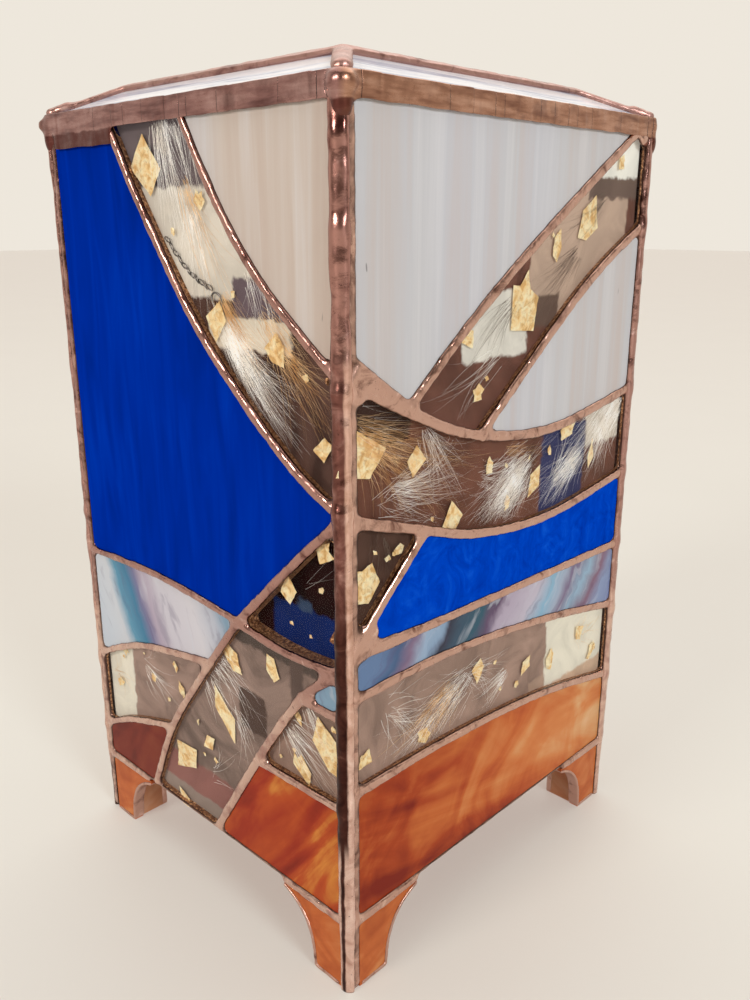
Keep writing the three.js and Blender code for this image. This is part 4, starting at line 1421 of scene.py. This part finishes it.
def build_light():
    """A pale studio behind the lantern, a darker room in front of it, and three soft lamps."""
    s = Shader("studio", bpy.data.worlds)
    ahead = s.node("TexCoord").outputs["Generated"]
    dot = s.node("VectorMath", {0: ahead, 1: (0.63, -0.66, 0.40)}, operation="DOT_PRODUCT")
    toward_room = s.levels(dot.outputs["Value"], -0.2, 0.5)
    tone = s.mix(toward_room, (0.855, 0.80, 0.715), (0.20, 0.165, 0.14))
    background = s.node("Background", {"Color": tone}).outputs[0]
    bpy.context.scene.world = s.finish(background, "OutputWorld")
    middle = (0, 0, 0.1)
    add_area("key", (-0.2, -2.3, 1.15), middle, 0.8, 36, (1.0, 0.94, 0.88))
    add_area("side", (2.3, -0.35, 1.2), middle, 0.8, 38, (0.96, 0.98, 1.0))
    sky = bpy.data.lights.new("sky", "SUN")
    sky.energy = 1.35
    sky.angle = math.radians(80)
    sky.color = (1.0, 0.97, 0.93)
    link(sky, "sky").rotation_euler = (math.radians(-18), math.radians(-12), 0)


CAMERA_AT = (0.1880, -0.1869, 0.1881)   # in metres
CAMERA_YAW = 43.96                      # degrees from looking along y
CAMERA_PITCH = 17.17                    # degrees below level
CAMERA_LENS = 32.42


def build_camera():
    """The camera, where the photograph was taken from."""
    data = bpy.data.cameras.new("camera")
    data.sensor_fit = "VERTICAL"
    data.sensor_height = 36
    data.lens = CAMERA_LENS
    data.clip_start = 0.005
    camera = link(data, "camera")
    camera.location = CAMERA_AT
    camera.rotation_euler = (math.radians(90 - CAMERA_PITCH), 0, math.radians(CAMERA_YAW))
    bpy.context.scene.camera = camera
    bpy.context.scene.view_settings.view_transform = "Standard"


def build_lantern():
    """All the pieces of the lantern, with their materials."""
    glaze_cad_glass()
    tan = copper("copper_tan", (0.20, 0.09, 0.065), (0.60, 0.365, 0.285), (0.82, 0.575, 0.475), 0.18, 0.25)
    rose = copper("copper_rose", (0.15, 0.06, 0.048), (0.44, 0.24, 0.20), (0.74, 0.50, 0.43), 0.18, 0.25,
                  lower=(0.70, 0.47, 0.38))
    crown = copper("copper_crown", (0.18, 0.080, 0.068), (0.43, 0.245, 0.21), (0.68, 0.47, 0.42), 0.32, 0.2,
                   shaded_and_tarnished=False)
    sole = copper("copper_foot", (0.20, 0.09, 0.07), (0.56, 0.34, 0.27), (0.78, 0.54, 0.46), 0.3, 0.15,
                  shaded_and_tarnished=False)
    foil = foil_edge()
    for side in SIDES:
        cast_wall_seams(side, [tan if side in ("right", "left") else rose, foil])
    for name in POSTS:
        cast_post(name, post_copper(name) if name == "front_right" else rose)
        cast_foot_edging(name, sole)
    cast_rim(rim_copper())
    cast_roof_seams(crown)
    pane = clear_pane()
    leaf = gold_leaf()
    hairs = [
        hair("fur_white", (0.88, 0.84, 0.78), (0.98, 0.97, 0.95)),
        hair("fur_golden", (0.64, 0.37, 0.14), (0.92, 0.69, 0.40)),
        hair("fur_dark", (0.10, 0.07, 0.055), (0.22, 0.16, 0.12)),
    ]
    clear = sorted(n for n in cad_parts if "_clear_" in n)
    for index, node in enumerate(clear):
        build_clear_piece(node, pane, leaf, hairs, 100 + index)
    build_keepsake_chain(steel())


build_camera()
build_stage()
build_light()
build_lantern()
